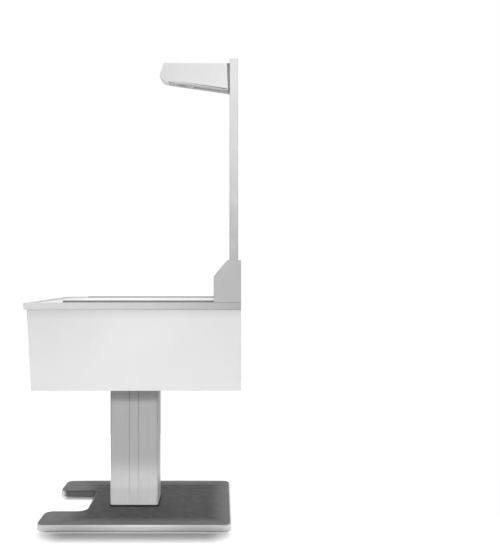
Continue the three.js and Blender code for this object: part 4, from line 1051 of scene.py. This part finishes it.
def add_lock(x, y):
    barrel = [(0, -0.017), (0.009, -0.017), (0.009, 0.0003), (0.011, 0.0003)]
    barrel += [(0.011, 0.0012), (0.0102, 0.002), (0.0075, 0.002), (0.0068, 0.0013), (0, 0.0013)]
    outwards = Matrix.Rotation(math.radians(-90), 4, "X")
    turned = moved(lathe(barrel, (0, 0, 0)), Matrix.Translation((x, y, LOCK_Z)) @ outwards)
    cam = oblong(x - 0.006, x + 0.006, LOCK_Z - 0.031, LOCK_Z + 0.011, 0.003)
    tongue = slab([cam], "y", y - 0.0156, y - 0.0136, 0.4 * MM)
    piece("cam_lock", together([turned, tongue]), "chrome", "door_lock")
    slot = oblong(x - 0.7 * MM, x + 0.7 * MM, LOCK_Z - 0.004, LOCK_Z + 0.004, 0.0006)
    key = slab([slot], "y", y + 0.0009, y + 0.0014, 0.05 * MM)
    piece("lock_keyway", key, "black", "door_lock", False)


def add_hinge(name, leaf_on_top, pin_x, pin_y):
    node = f"door_hinge_{name}"
    low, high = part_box(node)
    leaf_z = (low.z, low.z + LEAF_THICKNESS)
    if leaf_on_top:
        leaf_z = (high.z - LEAF_THICKNESS, high.z)
    leaf = slab([oblong(low.x, high.x, low.y, high.y, 0.002)], "z", *leaf_z, 0.3 * MM)
    r, chamfer, rise = PIN_RADIUS, 0.3 * MM, 0.4 * MM
    profile = [(0, low.z), (r - chamfer, low.z), (r, low.z + rise)]
    profile += [(r, high.z - rise), (r - chamfer, high.z), (0, high.z)]
    pin = lathe(profile, (pin_x, pin_y, 0), "z", 32)
    piece(f"hinge_{name}", together([leaf, pin]), "steel", node)


def add_electronics():
    low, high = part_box("kiosk_computer")
    fins = 17
    pitch = (high.x - low.x) / fins
    top, root = high.z, high.z - 0.018
    corners = [(low.x, low.z, 0.001), (high.x, low.z, 0.001)]
    for i in range(fins):
        right = high.x - i * pitch
        corners += [(right, top, 0.0008), (right - 0.35 * pitch, top, 0.0008)]
        if i < fins - 1:
            corners += [(right - 0.35 * pitch, root, 0.0008), (right - pitch, root, 0.0008)]
    corners += [(low.x, root, 0.001)]
    piece("computer", slab([rounded(corners, 3)], "y", low.y, high.y, 0.6 * MM), "case", "kiosk_computer")
    low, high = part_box("lift_control_box")
    piece("lift_controller", block(low, high, 0.004, 4), "case", "lift_control_box")
    led_low = (low.x + 0.02, high.y - 0.0004, low.z + 0.03)
    led = block(led_low, (low.x + 0.026, high.y + 0.0006, low.z + 0.034), 0.0004)
    piece("controller_led", led, "led_green", "lift_control_box", False)

    keep("power_inlet", "black")
    keep("power_rocker", "button")


# Stage ------------------------------------------------------------------------------------------


HORIZON_LIGHT = 0.14
UPPER_LIGHT = 0.42
BACKDROP_LIGHT = 0.75
FLOOR_GLOW = 0.34
SHADE_GLOW = 0.03
NOTCH_GLOW = 0.45
FLOOR_RADIUS = 1.4
FLOOR_THICKNESS = 0.001
SUN_STRENGTH = 1.3
SUN_ANGLE = 11  # degrees across, for a soft edge
# Name, place, target, width, height and power of each softbox.
LIGHTS = [
    ("low_key", (3.3, 0.1, 1.39), (0.0, 0.0, 0.6), 1.8, 0.22, 48.0),
    ("high_softbox", (2.9, 0.9, 3.1), (0.0, 0.3, 1.9), 1.2, 1.0, 10.0),
    ("side_strip", (3.3, -0.45, 0.45), (0.0, -0.05, 0.65), 0.6, 0.9, 5.0),
]


def studio_floor():
    """Plain white, shaded softly beside the floor plate and dim beneath it."""
    s = Surface("studio_floor", 0.9)
    x, y = (s.maths("ABSOLUTE", s.axis(name)) for name in "XY")
    plain = s.blend(s.noise(0.8, 2.0), grey(250), grey(252))
    beyond = s.maths("SUBTRACT", x, BASE_HI.x)
    outwards = s.span(beyond, 1.0, 0.0, 0.02, 0.17)
    near = s.maths("MULTIPLY", outwards, s.span(beyond, 0.0, 1.0, -0.01, 0.0))
    shade = s.maths("MULTIPLY", near, s.span(y, 1.0, 0.0, BASE_HI.y - 0.10, BASE_HI.y + 0.06))
    s.set("Base Color", s.blend(shade, plain, grey(165)))
    s.set("Specular IOR Level", 0.0)
    s.set("Emission Color", grey(255))
    under_x = s.span(x, 1.0, 0.0, BASE_HI.x - 0.02, BASE_HI.x)
    beneath = s.maths("MULTIPLY", under_x, s.span(y, 1.0, 0.0, BASE_HI.y - 0.02, BASE_HI.y))
    glow = s.span(s.maths("MAXIMUM", shade, beneath), FLOOR_GLOW, SHADE_GLOW, smooth=False)
    within = s.span(x, 1.0, 0.0, NOTCH_HALF - 0.03, NOTCH_HALF)
    before_end = s.span(s.axis("Y"), 1.0, 0.0, NOTCH_END - 0.02, NOTCH_END)
    open_notch = s.maths("MULTIPLY", within, before_end)
    notch_glow = s.span(open_notch, 0.0, NOTCH_GLOW, smooth=False)
    s.set("Emission Strength", s.maths("MAXIMUM", glow, notch_glow))
    return s.material


def add_stage():
    disc = slab([circle(0, 0, FLOOR_RADIUS, 96)], "z", -FLOOR_THICKNESS, 0.0, 0.2 * MM)
    floor = bpy.data.objects.new("floor", disc)
    bpy.context.scene.collection.objects.link(floor)
    floor.data.materials.append(studio_floor())

    bpy.context.scene.world = studio_world()
    for row in LIGHTS:
        add_softbox(*row)
    sun = bpy.data.objects.new("overhead", bpy.data.lights.new("overhead", "SUN"))
    sun.data.energy = SUN_STRENGTH
    sun.data.angle = math.radians(SUN_ANGLE)
    sun.rotation_euler = (math.radians(-1), math.radians(3), 0)
    bpy.context.scene.collection.objects.link(sun)
    scene = bpy.context.scene
    scene.view_settings.view_transform = "Standard"
    scene.view_settings.look = "None"


def studio_world():
    """A white backdrop for the camera, and a soft room that is darker round the horizon."""
    world = bpy.data.worlds.new("studio")
    world.use_nodes = True
    tree = world.node_tree
    tree.nodes.clear()
    direction = tree.nodes.new("ShaderNodeTexCoord").outputs["Generated"]
    split = tree.nodes.new("ShaderNodeSeparateXYZ")
    tree.links.new(direction, split.inputs["Vector"])
    rise = tree.nodes.new("ShaderNodeMapRange")
    rise.interpolation_type = "SMOOTHSTEP"
    rise.inputs["From Max"].default_value = 0.5
    rise.inputs["To Min"].default_value = HORIZON_LIGHT
    rise.inputs["To Max"].default_value = UPPER_LIGHT
    tree.links.new(split.outputs["Z"], rise.inputs["Value"])
    behind = tree.nodes.new("ShaderNodeMapRange")
    behind.interpolation_type = "SMOOTHSTEP"
    behind.inputs["From Min"].default_value = -0.1
    behind.inputs["From Max"].default_value = -0.9
    behind.inputs["To Max"].default_value = BACKDROP_LIGHT
    tree.links.new(split.outputs["X"], behind.inputs["Value"])
    total = tree.nodes.new("ShaderNodeMath")
    total.operation = "ADD"
    tree.links.new(rise.outputs["Result"], total.inputs[0])
    tree.links.new(behind.outputs["Result"], total.inputs[1])
    room = tree.nodes.new("ShaderNodeBackground")
    tree.links.new(total.outputs["Value"], room.inputs["Strength"])
    backdrop = tree.nodes.new("ShaderNodeBackground")
    for background in (room, backdrop):
        background.inputs["Color"].default_value = (1, 1, 1, 1)
    mix = tree.nodes.new("ShaderNodeMixShader")
    seen = tree.nodes.new("ShaderNodeLightPath").outputs["Is Camera Ray"]
    tree.links.new(seen, mix.inputs["Fac"])
    tree.links.new(room.outputs["Background"], mix.inputs[1])
    tree.links.new(backdrop.outputs["Background"], mix.inputs[2])
    output = tree.nodes.new("ShaderNodeOutputWorld")
    tree.links.new(mix.outputs["Shader"], output.inputs["Surface"])
    return world


def add_softbox(name, place, target, width, height, power):
    light = bpy.data.lights.new(name, "AREA")
    light.shape = "RECTANGLE"
    light.size = width
    light.size_y = height
    light.energy = power
    obj = bpy.data.objects.new(name, light)
    obj.location = place
    obj.rotation_euler = (Vector(target) - Vector(place)).to_track_quat("-Z", "Y").to_euler()
    obj.visible_camera = False
    bpy.context.scene.collection.objects.link(obj)


add_camera()
MATERIALS = build_materials()
add_floor_plate()
add_column()
add_cabinet()
add_counter()
add_upstand()
add_mast()
add_head()
add_height_switch()
add_service_door()
add_electronics()
add_stage()
